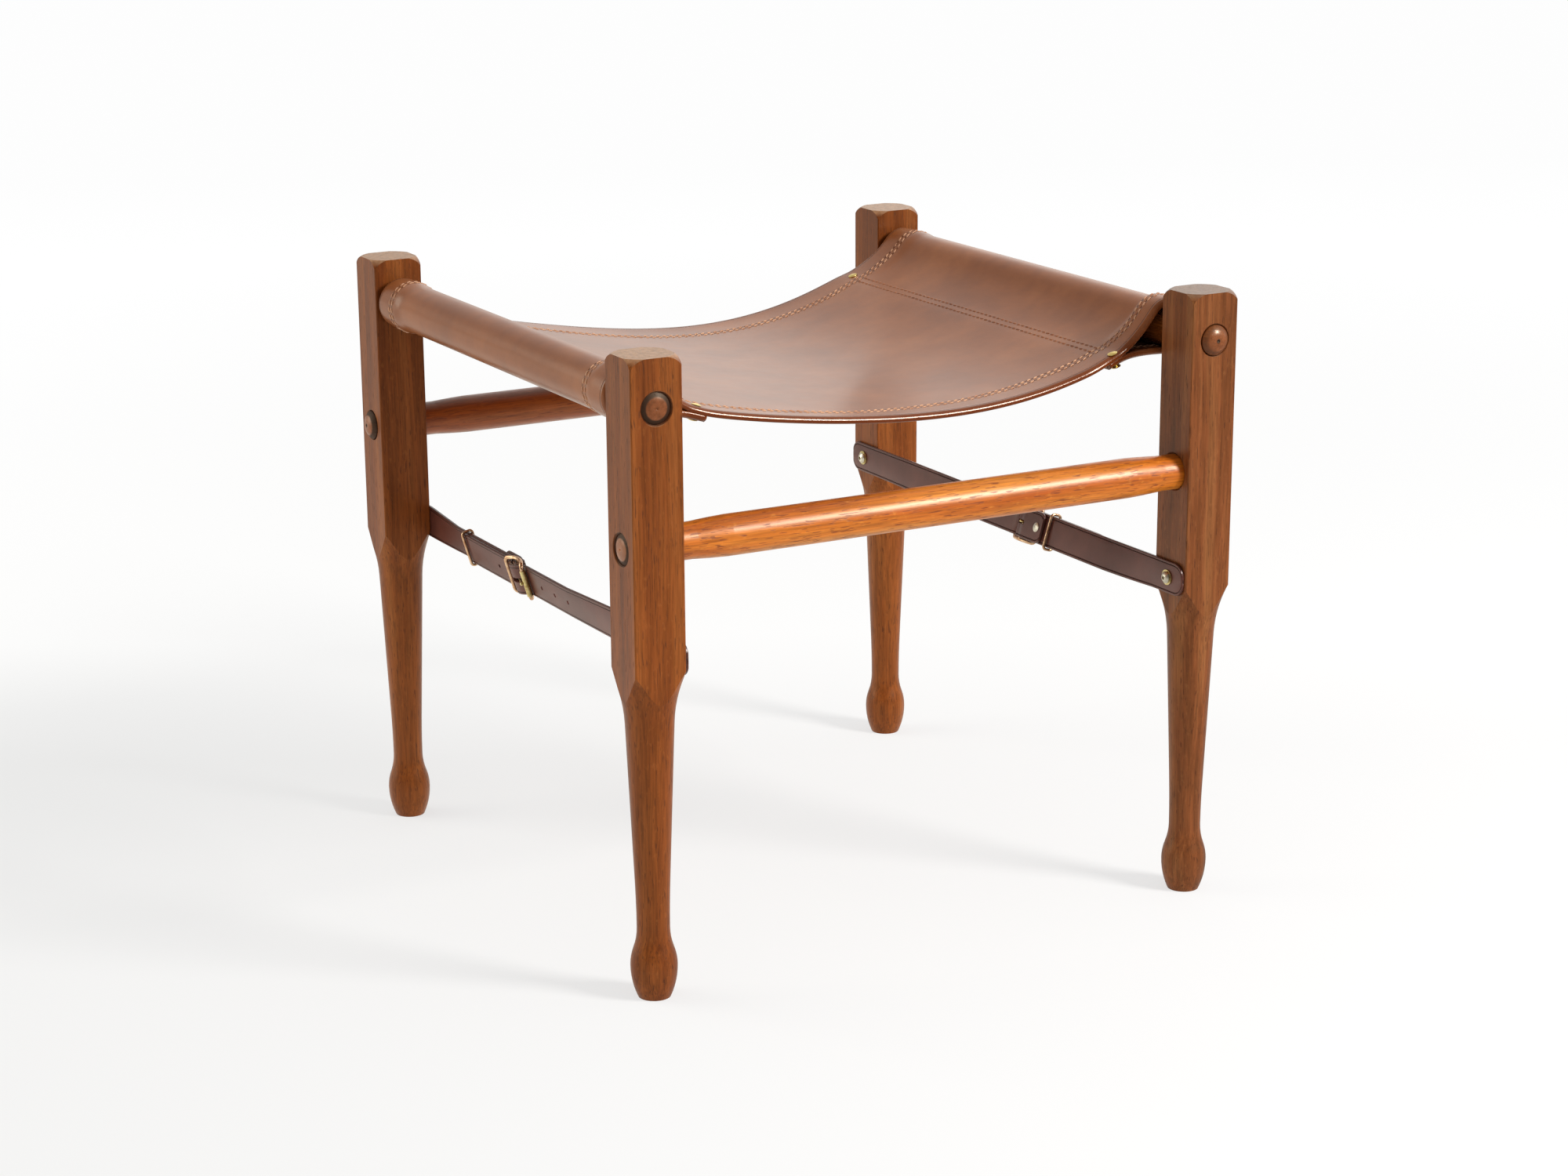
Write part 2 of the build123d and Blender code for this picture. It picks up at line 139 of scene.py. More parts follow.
def surface(tree, **values):
    shader = add(tree, "BsdfPrincipled", {shaderSockets[k]: v for k, v in values.items()})
    add(tree, "OutputMaterial", {"Surface": shader.outputs["BSDF"]})


# Wood: fibres and pores run along one axis, and the ends across it have a tone of their own, which
# on the legs is lightened into a painted sheen on their tops
legWood = {
    "name": "oiledMahogany", "axis": 2,
    "dark": tone(104, 49, 15), "middle": tone(124, 63, 21), "light": tone(142, 80, 34),
    # end: end-grain tone, lightened into a painted sheen on the legs' tops
    "pore": tone(62, 27, 10), "end": tone(172, 132, 98), "poreShare": 0.65, "poreDepth": 0.6,
    "rough": 0.36, "specular": 0.34, "coat": 0.0, "coatRough": 0.30,
    "veil": (1.0, 0.80, 0.58, 1.0),
}
# a greyer copy of the leg wood with a darker top, for the front right leg
paleLegWood = {
    **legWood, "name": "greyerMahogany",
    "dark": tone(92, 50, 22), "middle": tone(116, 63, 31), "light": tone(134, 84, 46),
    "end": tone(122, 94, 74),
}
railWood = {
    **legWood, "name": "railMahogany", "axis": 1, "end": tone(116, 66, 38),
    "rough": 0.28, "specular": 0.5, "coat": 0.2, "coatRough": 0.24,
}
stretcherWood = {
    "name": "polishedTeak", "axis": 0,
    "dark": tone(168, 78, 16), "middle": tone(200, 111, 27), "light": tone(216, 138, 52),
    "pore": tone(112, 44, 12), "end": tone(136, 80, 48), "poreShare": 0.62, "poreDepth": 0.75,
    "rough": 0.34, "specular": 0.5, "coat": 0.30, "coatRough": 0.32,
    "veil": (1.0, 0.80, 0.58, 1.0),
}
# painted shade: a darker copy of the teak for the back stretcher, which lies in the seat's shadow
shadedWood = {
    **stretcherWood, "name": "shadowedTeak",
    "dark": tone(112, 46, 12), "middle": tone(146, 66, 20), "light": tone(166, 86, 34),
}
# Painted shade where the tenons meet the legs, in metres: a mask changes from its first radius to
# its second
joinery = {
    "legMiddle": 0.220, "legFace": 0.230, "railHeight": 0.4165, "stretcherHeight": 0.320,
    "mouth": (0.0115, 0.0119), "mouthShade": 0.85,
    "rim": (0.0072, 0.0082), "rimShade": 0.9, "rightRailShade": 0.35,
    "dimple": (0.0012, 0.0018), "dimpleShade": 0.95, "tipShadeTone": tone(30, 13, 7),
}


def tenonDistance(tree, side, z, height):  # distance from the axis of a tenon on either side
    off = maths(tree, "SUBTRACT", maths(tree, "ABSOLUTE", side), joinery["legMiddle"])
    return add(tree, "VectorMath", {0: add(tree, "CombineXYZ", {
        "X": off, "Y": maths(tree, "SUBTRACT", z, height)}).outputs[0]},
        operation="LENGTH").outputs["Value"]


def radiusRamp(tree, far, radii, inner, outer):
    scale = 20  # brings radii of up to 50 mm into the ramp's 0 to 1
    return ramp(tree, maths(tree, "MULTIPLY", far, scale),
                [(radii[0] * scale, inner), (radii[1] * scale, outer)])


def mouthShadeMask(tree):
    # painted shade, high within the eased mouths of a leg's mortises: those of the rails run
    # along Y and those of the stretchers along X
    x, y, z = add(tree, "SeparateXYZ", {"Vector": objectPlace(tree)}).outputs
    masks = [radiusRamp(tree, tenonDistance(tree, side, z, joinery[height]),
                        joinery["mouth"], 1.0, 0.0)
             for side, height in ((x, "railHeight"), (y, "stretcherHeight"))]
    return maths(tree, "MULTIPLY", maths(tree, "MAXIMUM", *masks), joinery["mouthShade"])


def tipShadeMask(tree, axis):
    # painted shade, high on the dark rim of a tenon's tip, outside the leg, and in the dimple,
    # which only the right rail and the back stretcher have; the right rail's rim is paler
    x, y, z = add(tree, "SeparateXYZ", {"Vector": objectPlace(tree)}).outputs
    ahead, side, height = (x, y, "stretcherHeight") if axis == 0 else (y, x, "railHeight")
    far = tenonDistance(tree, side, z, joinery[height])
    farSide = maths(tree, "GREATER_THAN", side, 0.0)  # the right rail or the back stretcher
    rim = radiusRamp(tree, far, joinery["rim"], 0.0, joinery["rimShade"])
    dimple = radiusRamp(tree, far, joinery["dimple"], joinery["dimpleShade"], 0.0)
    dimple = maths(tree, "MULTIPLY", dimple, farSide)
    if axis == 1:
        rim = maths(tree, "MULTIPLY", rim, maths(tree, "SUBTRACT", 1.0, maths(
            tree, "MULTIPLY", farSide, 1 - joinery["rightRailShade"])))
    rim = maths(tree, "MAXIMUM", rim, dimple)
    out = maths(tree, "GREATER_THAN", maths(tree, "ABSOLUTE", ahead), joinery["legFace"])
    return maths(tree, "MULTIPLY", rim, out)


def makeWood(kind):
    material, tree = newMaterial(kind["name"])
    axis = kind["axis"]
    place = objectPlace(tree)

    def grained(across, lengthwise):  # a pattern's scale, stretched along the grain
        size = [across] * 3
        size[axis] = lengthwise
        return tuple(size)

    bend = add(tree, "TexNoise", {
        "Vector": mapped(tree, grained(9, 2.5), place), "Scale": 1.0, "Detail": 1.0})
    wander = add(tree, "VectorMath", {0: bend.outputs["Color"], 1: (0.5, 0.5, 0.5)},
                 operation="SUBTRACT").outputs[0]
    small = add(tree, "VectorMath", {0: wander, "Scale": 0.012}, operation="SCALE").outputs[0]
    bent = add(tree, "VectorMath", {0: place, 1: small}, operation="ADD").outputs[0]
    bands, fibre, fine, pores, flecks = (
        noise(tree, grained(across, lengthwise), detail, rough, bent)
        for across, lengthwise, detail, rough in (
            (75, 3.0, 3.0, 0.55), (430, 12, 3.0, 0.6), (950, 38, 2.0, 0.5),
            (1050, 100, 1.0, 0.4), (420, 190, 2.0, 0.5)))
    body = ramp(tree, bands, [(0.30, kind["dark"]), (0.50, kind["middle"]), (0.72, kind["light"])])
    body = shaded(tree, 0.9, body, fibre, [(0.32, 0.74), (0.55, 1.0), (0.75, 1.10)])
    body = shaded(tree, 0.75, body, fine, [(0.34, 0.72), (0.60, 1.08)])
    lights = ramp(tree, flecks, [(0.60, 0.0), (0.74, 0.35)])
    body = blendColour(tree, lights, body, kind["light"])
    share = kind["poreShare"]
    poreMask = ramp(tree, pores, [(share, 0.0), (share + 0.05, kind["poreDepth"])])
    body = blendColour(tree, poreMask, body, kind["pore"])
    normal = add(tree, "NewGeometry").outputs["Normal"]
    parts = add(tree, "SeparateXYZ", {"Vector": normal}).outputs[axis]
    endShare = ramp(tree, maths(tree, "ABSOLUTE", parts), [(0.55, 0.0), (0.95, 0.85)])
    endTone = shaded(tree, 1.0, kind["end"], noise(tree, 260, 3.0, 0.6),
                     [(0.35, 0.75), (0.65, 1.2)])
    body = blendColour(tree, endShare, body, endTone)
    if axis == 2:  # a leg is lighter towards its foot
        # painted light: the leg is lighter towards its foot, standing in for light bounced up from
        # the floor
        height = add(tree, "SeparateXYZ", {"Vector": place}).outputs[2]
        body = shaded(tree, 1.0, body, height, [(0.22, 1.16), (0.40, 1.0)])
        # painted shade in the mortise mouths, in the pore tone
        body = blendColour(tree, mouthShadeMask(tree), body, kind["pore"])
    else:
        # painted shade on the rim and in the dimple of a tenon's tip
        rim = tipShadeMask(tree, axis)
        body = blendColour(tree, rim, body, joinery["tipShadeTone"])
    roughness = plus(tree, kind["rough"] - 0.08, fibre, 0.16)
    roughness = plus(tree, roughness, poreMask, 0.25)
    coat = kind["coat"]
    if axis != 2:
        roughness = plus(tree, roughness, rim, 0.3)
        coat = maths(tree, "MULTIPLY", maths(tree, "SUBTRACT", 1.0, rim), coat)
    hollows = maths(tree, "SUBTRACT", maths(tree, "MULTIPLY", fine, 0.35), poreMask)
    relief = bumps(tree, hollows, 0.35, 0.00018)
    surface(tree, colour=body, rough=roughness, coat=coat, coatRough=kind["coatRough"],
            normal=relief, specular=kind["specular"], veil=kind["veil"])
    return material


# Leather: a pebbled grain on the piece's own flat map, painted shade in creases, stitch grooves
# and punched holes, burnished edges
seatLeatherLook = {
    "name": "waxedSaddleLeather", "map": "flatCut",
    "deep": tone(128, 72, 38), "body": tone(141, 81, 43), "warm": tone(153, 91, 50),
    "edge": tone(98, 43, 14), "flesh": tone(132, 92, 66), "grooveShade": tone(78, 36, 16),
    "grain": 1500, "relief": 0.18, "mottle": 0.05,
    "rough": 0.30, "coat": 0.08, "coatRough": 0.16, "veil": (1.0, 0.86, 0.74, 1.0),
}
strapLeatherLook = {
    "name": "oxbloodStrapLeather", "map": "flatCut",
    "deep": tone(82, 42, 33), "body": tone(94, 50, 41), "warm": tone(108, 61, 49),
    "edge": tone(66, 34, 26), "flesh": tone(104, 64, 50), "grooveShade": tone(40, 20, 16),
    "grain": 1700, "relief": 0.20, "mottle": 0.10,
    "rough": 0.38, "coat": 0.15, "coatRough": 0.3, "veil": (1.0, 0.90, 0.86, 1.0),
}
# attribute in millimetres, its value in the groove's middle, half the width, and the depth of both
# the sunken bump and the painted shade
grooveRows = (("hemOffset", 2.5, 1.3, 1.0), ("seamOffset", 2.9, 0.7, 0.22),
              ("edgeOffset", 4.2, 0.55, 0.9))


def stitchGrooves(tree):
    # high in a sewn groove: hemOffset and seamOffset are measured from the middle of a pair
    # of rows, edgeOffset from the folded edge, where one line is pressed
    # the grooves get painted shade as well as a sunken bump
    found = []
    for name, row, half, depth in grooveRows:
        offset = maths(tree, "ABSOLUTE", attribute(tree, name))
        away = maths(tree, "ABSOLUTE", maths(tree, "SUBTRACT", offset, row))
        line = maths(tree, "SUBTRACT", 1.0, maths(tree, "DIVIDE", away, half), clamp=True)
        found.append(maths(tree, "MULTIPLY", line, depth))
    return maths(tree, "MAXIMUM", maths(tree, "MAXIMUM", found[0], found[1]), found[2])


def makeLeather(look):
    material, tree = newMaterial(look["name"])
    flat = add(tree, "UVMap", uv_map=look["map"]).outputs["UV"]
    edge, crease, inside = (attribute(tree, name) for name in ("burnish", "crease", "flesh"))
    clouds = noise(tree, 14, 3.0, 0.6, flat)
    mottle = noise(tree, 85, 3.0, 0.55, flat)
    veins = noise(tree, (260, 120, 200), 4.0, 0.65, flat)
    colour = ramp(tree, clouds, [(0.33, look["deep"]), (0.5, look["body"]), (0.68, look["warm"])])
    colour = shaded(tree, 0.7, colour, mottle, [(0.3, 0.93), (0.7, 1.06)])
    colour = shaded(tree, 0.6, colour, veins, [(0.35, 0.93), (0.62, 1.04)])
    colour = blendColour(tree, edge, colour, look["edge"])
    grooves = maths(tree, "MAXIMUM", crease, stitchGrooves(tree))
    # painted shade in the grooves, pressed creases and punched holes
    colour = blendColour(tree, maths(tree, "MULTIPLY", grooves, 0.8), colour, look["grooveShade"])
    nap = ramp(tree, noise(tree, 900, 3.0, 0.6, flat), [(0.3, 0.0), (0.7, 0.6)])
    fleshTone = blendColour(tree, nap, look["flesh"], look["body"])
    colour = blendColour(tree, inside, colour, fleshTone)
    cells = add(tree, "TexVoronoi", {"Vector": mapped(tree, look["grain"], flat), "Scale": 1.0},
                feature="SMOOTH_F1").outputs["Distance"]
    pits = noise(tree, 2600, 2.0, 0.5, flat)
    height = plus(tree, maths(tree, "MULTIPLY", cells, 0.7), pits, 0.3)
    height = plus(tree, height, veins, 0.5)
    sunk = bumps(tree, maths(tree, "SUBTRACT", 1.0, grooves), 1.0, 0.0005)
    relief = bumps(tree, height, look["relief"], 0.00022, sunk)
    roughness = plus(tree, look["rough"] - look["mottle"] / 2, mottle, look["mottle"])
    roughness = plus(tree, roughness, inside, 0.4)
    roughness = plus(tree, roughness, edge, -0.12)
    surface(tree, colour=colour, rough=roughness, coat=look["coat"],
            coatRough=look["coatRough"], normal=relief, veil=look["veil"])
    return material


# Metal: worn plate, patchy between a dull and a bright tone, with fine scratches
metals = {
    "polishedBrass": {"bright": tone(252, 228, 150), "dull": tone(226, 190, 108), "rough": 0.30},
    "paleBrass": {"bright": tone(226, 208, 150), "dull": tone(172, 146, 88), "rough": 0.24},
    "copperedWire": {"bright": tone(238, 202, 166), "dull": tone(198, 150, 112), "rough": 0.28},
    "agedNickel": {"bright": tone(236, 230, 214), "dull": tone(190, 180, 158), "rough": 0.30},
}


def makeMetal(name):
    kind = metals[name]
    material, tree = newMaterial(name)
    wear = noise(tree, 240, 4.0, 0.6)
    lines = noise(tree, (4200, 900, 2400), 2.0, 0.5)
    colour = ramp(tree, wear, [(0.34, kind["dull"]), (0.58, kind["bright"])])
    roughness = plus(tree, kind["rough"] - 0.09, wear, 0.18)
    roughness = plus(tree, roughness, lines, 0.10)
    surface(tree, colour=colour, metal=1.0, rough=roughness,
            normal=bumps(tree, lines, 0.10, 0.00005))
    return material


threadLook = {"pale": tone(210, 158, 120), "shade": tone(174, 120, 86), "rough": 0.6}
darkThreadLook = {"pale": tone(166, 104, 68), "shade": tone(132, 78, 48), "rough": 0.55}


def makeThread(name, look):
    material, tree = newMaterial(name)
    ply = noise(tree, 2400, 2.0, 0.5)
    soil = noise(tree, 45, 2.0, 0.5)
    colour = ramp(tree, soil, [(0.34, look["shade"]), (0.58, look["pale"])])
    colour = shaded(tree, 0.5, colour, ply, [(0.3, 0.75), (0.7, 1.1)])
    surface(tree, colour=colour, rough=look["rough"],
            normal=bumps(tree, ply, 0.3, 0.00015), sheen=0.2)
    return material


woods = {kind["name"]: makeWood(kind) for kind in (
    legWood, paleLegWood, railWood, stretcherWood, shadedWood)}
seatLeather = makeLeather(seatLeatherLook)
strapLeather = makeLeather(strapLeatherLook)
plates = {name: makeMetal(name) for name in metals}
thread = makeThread("waxedThread", threadLook)
darkThread = makeThread("wornThread", darkThreadLook)

cadFinishes = [  # a node's finish is the last one whose start fits its name
    ("leg_", woods["oiledMahogany"]), ("leg_front_right", woods["greyerMahogany"]),
    ("rail_", woods["railMahogany"]),
    ("stretcher_front", woods["polishedTeak"]), ("stretcher_back", woods["shadowedTeak"]),
    ("buckle_frame", plates["copperedWire"]),
    ("buckle_roller", plates["paleBrass"]), ("buckle_prong", plates["paleBrass"]),
    ("strap_keeper", plates["copperedWire"]), ("strap_rivet", plates["agedNickel"]),
    ("strap_screw", plates["agedNickel"]), ("strap_washer", plates["paleBrass"]),
    ("seat_rivets", plates["polishedBrass"]),
]
for nodeName, cadNode in nodes.items():
    for start, finish in cadFinishes:
        if nodeName.startswith(start):
            cadNode.data.materials.clear()
            cadNode.data.materials.append(finish)
print("materials made:", len(bpy.data.materials))


# Mesh helpers
def makeMesh(name, points, faces, material, smooth=True):
    mesh = bpy.data.meshes.new(name)
    mesh.from_pydata(points.tolist(), [], faces.tolist() if hasattr(faces, "tolist") else faces)
    mesh.polygons.foreach_set("use_smooth", np.full(len(mesh.polygons), smooth))
    mesh.materials.append(material)
    mesh.update()
    piece = bpy.data.objects.new(name, mesh)
    bpy.context.scene.collection.objects.link(piece)
    return piece


def gridFaces(rows, columns, wrap=False):  # quads between neighbouring rows and columns
    last = columns if wrap else columns - 1
    i, j = np.meshgrid(np.arange(rows - 1), np.arange(last), indexing="ij")
    k = (j + 1) % columns
    return np.stack([i * columns + j, i * columns + k, (i + 1) * columns + k,
                     (i + 1) * columns + j], axis=-1).reshape(-1, 4)


def addMap(mesh, name, flat):  # one flat coordinate per vertex, copied to the face corners
    corner = np.zeros(len(mesh.loops), np.int32)
    mesh.loops.foreach_get("vertex_index", corner)
    layer = mesh.uv_layers.new(name=name)
    layer.data.foreach_set("uv", flat[corner].astype(np.float32).ravel())


def addShare(mesh, name, values):
    layer = mesh.attributes.new(name, "FLOAT", "POINT")
    layer.data.foreach_set("value", values.astype(np.float32))


def unit(v):
    return v / np.maximum(np.linalg.norm(v, axis=-1, keepdims=True), 1e-12)


def ease(t):
    t = np.clip(t, 0, 1)
    return t * t * (3 - 2 * t)


def within(value, span):  # 0 up to the span's start, easing to 1 at its end
    return ease((value - span[0]) / (span[1] - span[0]))


def lengthAlong(line):  # distance from a polyline's start to each of its points
    return np.concatenate([[0], np.cumsum(np.linalg.norm(np.diff(line, axis=0), axis=1))])


def pointsAt(at, along, line):  # points of a polyline at the wanted values of along
    return np.stack([np.interp(at, along, line[:, k]) for k in range(3)], axis=-1)


# The leather sling, one sheet: front to back it runs from the raw edge of one folded hem
# to the other, and side to side from one flap's end, round both rails, to the other's
sling = {
    "leather": 2.2, "foldRadius": 2.35, "halfLength": 198.0, "hemFront": 22.0,
    "hemBack": 31.0, "skived": 3.3, "skivedLeather": 1.0,
    "railX": 220.0, "railZ": 417.7, "snugRadius": 17.9, "hemRadius": 19.1,
    "seamX": 171.0, "seamZ": 405.2, "slope": 18.0, "lap": 12.6, "flapSpare": 1.5,
    "turnFrom": 146, "turnTo": -96, "riseMain": 4.0, "riseHem": 3.0,
    "sagFront": 18.9, "sagBack": 25.6, "bellyDip": 1.5,
    "leanFront": 2.4, "leanBack": 3.3, "leanPeak": 2.8, "bowFront": -2.0, "bowBack": 0.8,
    "hemLift": 3.0, "liftFade": 12.0, "rollWidth": 6.5, "rollDrop": 1.0,
    "humpShift": (-4.5, 3.8), "humpRadius": 18.6, "humpBelow": 2.0, "humpBlend": 0.6,
    "blendLength": 12.0,
    "rowsAt": (-240, -160, -120, -40, 20, 120, 165, 200),
    "frontRows": (31.4, 26.0, 22.0, 19.4, 24.5, 26.0, 23.0, 18.0), "backRows": (31.0, 25.0),
    "widenFront": 0.56, "widenBack": 0.18, "widenFrom": 8.5, "widenWithin": (130, 170),
    "rowHalf": 2.5, "seamRows": 165.3, "seamHalf": 2.9,
    "pullIn": 7.0, "pullLeft": 0.8, "pullAcross": (140, 185), "pullAlong": 120,
    "swell": 0.3, "swellAt": 1.5, "swellWidth": 2.0, "burnWidth": 5.0, "nowhere": 99.0,
    "nearRows": (3.2, 4.4, 6.0, 8.5, 12.0, 16.0, 20.0, 22.5, 25.0, 28.0, 31.0, 34.0, 38.0, 42.0),
    "middleRows": 64, "middleFrom": 47, "skivedFrom": 6, "foldRows": (8.5, 5.5),
}
sectionCounts = {"seat": 56, "lap": 7, "rise": 14, "turn": 34, "return": 12, "flap": 6}


def slingSection(hemShare, humpShare, sag):
    # Outer face of the leather right of the middle, as places in XZ, one row per place along
    # the stool: a circular sag, the sewn lap, an S-curve up to the rail, the turn round the
    # rail as the larger of two circles about it, and the flap's return under the lap.
    w = hemShare[:, None]

    def places(x, z):
        return np.stack([x + 0 * w, z + 0 * w], axis=-1)

    def between(first, last, leaving, arriving, count):
        # cubic that leaves and arrives in given directions; both ends are left out
        s = np.linspace(0, 1, count + 2)[1:-1, None]
        long = np.linalg.norm(last - first, axis=-1, keepdims=True)
        return ((2 * s ** 3 - 3 * s ** 2 + 1) * first + (3 * s ** 2 - 2 * s ** 3) * last
                + long * ((s ** 3 - 2 * s ** 2 + s) * leaving + (s ** 3 - s ** 2) * arriving))

    slope = math.radians(sling["slope"])
    inwards = np.array([-math.cos(slope), -math.sin(slope)])
    seam = places(sling["seamX"], sling["seamZ"])
    lapEnd = seam + sling["lap"] * inwards
    lapX, lapZ = lapEnd[..., 0], lapEnd[..., 1]
    radius = (lapX ** 2 + sag[:, None] ** 2) / (2 * sag[:, None])
    x = lapX * np.linspace(0, 1, sectionCounts["seat"])
    seat = places(x, lapZ - sag[:, None] + radius - np.sqrt(radius ** 2 - x ** 2))
    lap = lapEnd + (seam - lapEnd) * np.linspace(0, 1, sectionCounts["lap"] + 1)[1:, None]
    turn = np.linspace(math.radians(sling["turnFrom"]), math.radians(sling["turnTo"]),
                       sectionCounts["turn"])
    snug = sling["snugRadius"] + (sling["hemRadius"] - sling["snugRadius"]) * w
    away = math.hypot(*sling["humpShift"])
    toward = turn - math.atan2(*sling["humpShift"][::-1])
    second = away * np.cos(toward) + np.sqrt(
        sling["humpRadius"] ** 2 - (away * np.sin(toward)) ** 2)
    lower = snug - sling["humpBelow"]
    second = lower + (second - lower) * humpShare[:, None]
    reach = (snug + second + np.sqrt((snug - second) ** 2 + sling["humpBlend"])) / 2
    roll = places(sling["railX"] + reach * np.cos(turn), sling["railZ"] + reach * np.sin(turn))
    rise = np.radians(sling["slope"] + sling["riseMain"] + sling["riseHem"] * w)
    rising = between(seam, roll[:, :1], places(np.cos(rise), np.sin(rise)),
                     unit(roll[:, 1:2] - roll[:, :1]), sectionCounts["rise"])
    depth = 2 * sling["foldRadius"] * (1 + w)
    under = seam + places(depth * math.sin(slope), -depth * math.cos(slope))
    coming = between(roll[:, -1:], under, unit(roll[:, -1:] - roll[:, -2:-1]), inwards,
                     sectionCounts["return"])
    long = (sling["lap"] - sling["flapSpare"]) * np.linspace(0, 1, sectionCounts["flap"])
    flap = under + long[:, None] * inwards
    return np.concatenate([seat, lap, rising, roll, coming, flap], axis=1)


def rounded(values, passes):  # softens the corners of each section with a short moving mean
    for _ in range(passes):
        middle = 0.25 * values[:, :-2] + 0.5 * values[:, 1:-1] + 0.25 * values[:, 2:]
        values = np.concatenate([values[:, :1], middle, values[:, -1:]], axis=1)
    return values


def slingRows():
    # Places along the stool of the sheet's rows, with the fold's angle and how far the
    # folded part has been skived thin towards its raw edge.
    radius, half = sling["foldRadius"], sling["halfLength"]
    edgeY = half - radius
    near = np.array([radius, *sling["nearRows"]])
    reach = half - sling["middleFrom"]
    middle = np.linspace(-reach, reach, sling["middleRows"])
    main = np.concatenate([-half + near, middle, half - near[::-1]])
    angle = np.linspace(0, math.pi, 17)[1:-1]
    spots = []
    for side, hem in ((-1, sling["hemFront"]), (1, sling["hemBack"])):
        first, second = sling["foldRows"]
        under = np.concatenate([np.linspace(hem, first, 7), [second, radius]])
        part = [(side * (half - u), math.pi, within(u, (sling["skivedFrom"], hem)))
                for u in under]
        part += [(side * (edgeY + radius * math.sin(a)), a, 0.0) for a in angle[::-1]]
        spots.append(part)
    front, back = spots[0], spots[1][::-1]
    y = np.array([p[0] for p in front] + list(main) + [p[0] for p in back])
    turned = np.array([p[1] for p in front] + [0.0] * len(main) + [p[1] for p in back])
    thin = np.array([p[2] for p in front] + [0.0] * len(main) + [p[2] for p in back])
    toward = np.concatenate([-np.ones(len(front)), np.zeros(len(main)), np.ones(len(back))])
    return y, turned, toward, thin


def rowMiddle(across, y):  # distance of a hem's pair of rows from the folded edge
    front = np.interp(across, sling["rowsAt"], sling["frontRows"])
    back = np.interp(np.abs(across), (140, 190), sling["backRows"])
    return np.where(y < 0, front, back)


def slingSag(x, z, share, clamped):
    # The sag hangs lower on the right, and the tight back hem lies above the sheet beside it:
    # z - 2.8 lean u (1 - u^2)^1.2 + bow (1 - u^4) - lift (1 - e^(-d/12)) (1 - u^2), with u
    # from -1 to 1 between the laps and d the distance from the back edge.
    lapX = sling["seamX"] - sling["lap"] * math.cos(math.radians(sling["slope"]))
    u = np.clip(x / lapX, -1, 1)
    lean = sling["leanFront"] + (sling["leanBack"] - sling["leanFront"]) * share
    bow = sling["bowFront"] + (sling["bowBack"] - sling["bowFront"]) * share
    fromBack = sling["halfLength"] - clamped
    lift = sling["hemLift"] * share * (1 - np.exp(-fromBack / sling["liftFade"]))
    z = z - sling["leanPeak"] * lean[:, None] * u * (1 - u ** 2) ** 1.2
    return z + bow[:, None] * (1 - u ** 4) - lift[:, None] * (1 - u ** 2)


def slingSections(y, clamped):  # x and z of every row, from the left flap's end to the right's
    half = sling["halfLength"]
    hem = np.where(y < 0, sling["hemFront"], sling["hemBack"])
    hemShare = 1 - ease((half - hem + 1 - np.abs(clamped)) / sling["blendLength"])
    share = (clamped + half) / (2 * half)
    sag = sling["sagFront"] + (sling["sagBack"] - sling["sagFront"]) * share
    sag = sag + sling["bellyDip"] * np.sin(np.pi * share)
    right = slingSection(hemShare, hemShare * (clamped < 0), sag)
    x = np.concatenate([-right[:, :0:-1, 0], right[..., 0]], axis=1)
    z = np.concatenate([right[:, :0:-1, 1], right[..., 1]], axis=1)
    return rounded(x, 2), rounded(slingSag(x, z, share, clamped), 2)


def slingSheet():
    # Outer face: the section's place, less its depth along the section's normal, where y is
    # drawn back at the corners and the folded hems are wider between the rails.
    y, turned, toward, thin = slingRows()
    clamped = np.clip(y, -sling["halfLength"], sling["halfLength"])
    fromEdge = sling["halfLength"] - np.abs(clamped)
    x, z = slingSections(y, clamped)
    stepX, stepZ = np.gradient(x, axis=1), np.gradient(z, axis=1)
    long = np.hypot(stepX, stepZ)
    upward = np.stack([-stepZ / long, 0 * long, stepX / long], axis=-1)
    across = np.concatenate([np.zeros((len(y), 1)), np.cumsum(
        np.hypot(np.diff(x, axis=1), np.diff(z, axis=1)), axis=1)], axis=1)
    across = across - across[:, across.shape[1] // 2][:, None]
    # the folded hem lies under the main sheet: depth grows through the fold's half circle,
    # and close to the edge the roll slopes down
    depth = sling["foldRadius"] * (1 - np.cos(turned))
    depth = depth + (sling["skived"] - depth) * thin
    rollShare = np.clip(1 - fromEdge / sling["rollWidth"], 0, 1)
    depth = depth + sling["rollDrop"] * rollShare ** 2
    face = (upward * np.cos(turned)[:, None, None]
            + np.array([0, 1.0, 0]) * (toward * np.sin(turned))[:, None, None])
    # the corners are drawn back from the legs, the front right one the most
    amount = np.where((x > 0) & (y < 0)[:, None], sling["pullIn"], sling["pullLeft"])
    pull = amount * within(np.abs(x), sling["pullAcross"]) * np.clip(
        1 - fromEdge / sling["pullAlong"], 0, 1)[:, None]
    # between the rails the hems are wider: the part next to the fold stays, the rest stretches
    more = np.where(y < 0, sling["widenFront"], sling["widenBack"])
    more = (more * (turned > 3.1) * np.clip(fromEdge - sling["widenFrom"], 0, None))[:, None]
    more = more * (1 - within(np.abs(across), sling["widenWithin"]))
    place = np.stack([x, y[:, None] - np.sign(y)[:, None] * (pull + more), z], axis=-1)
    place = place - upward * depth[:, None, None]
    # the leather swells a little into the rolled edge
    onMain = (turned == 0)[:, None] * np.ones(x.shape)
    swell = sling["swell"] * np.exp(
        -((fromEdge - sling["swellAt"]) / sling["swellWidth"]) ** 2)[:, None] * onMain
    place = place + face * swell[..., None]
    offset = fromEdge[:, None] + more - rowMiddle(across, y[:, None])
    return {"x": x, "y": y, "z": z, "across": across, "turned": turned, "thin": thin,
            "depth": depth, "fromEdge": fromEdge, "onMain": onMain, "place": place,
            "face": face, "offset": offset}


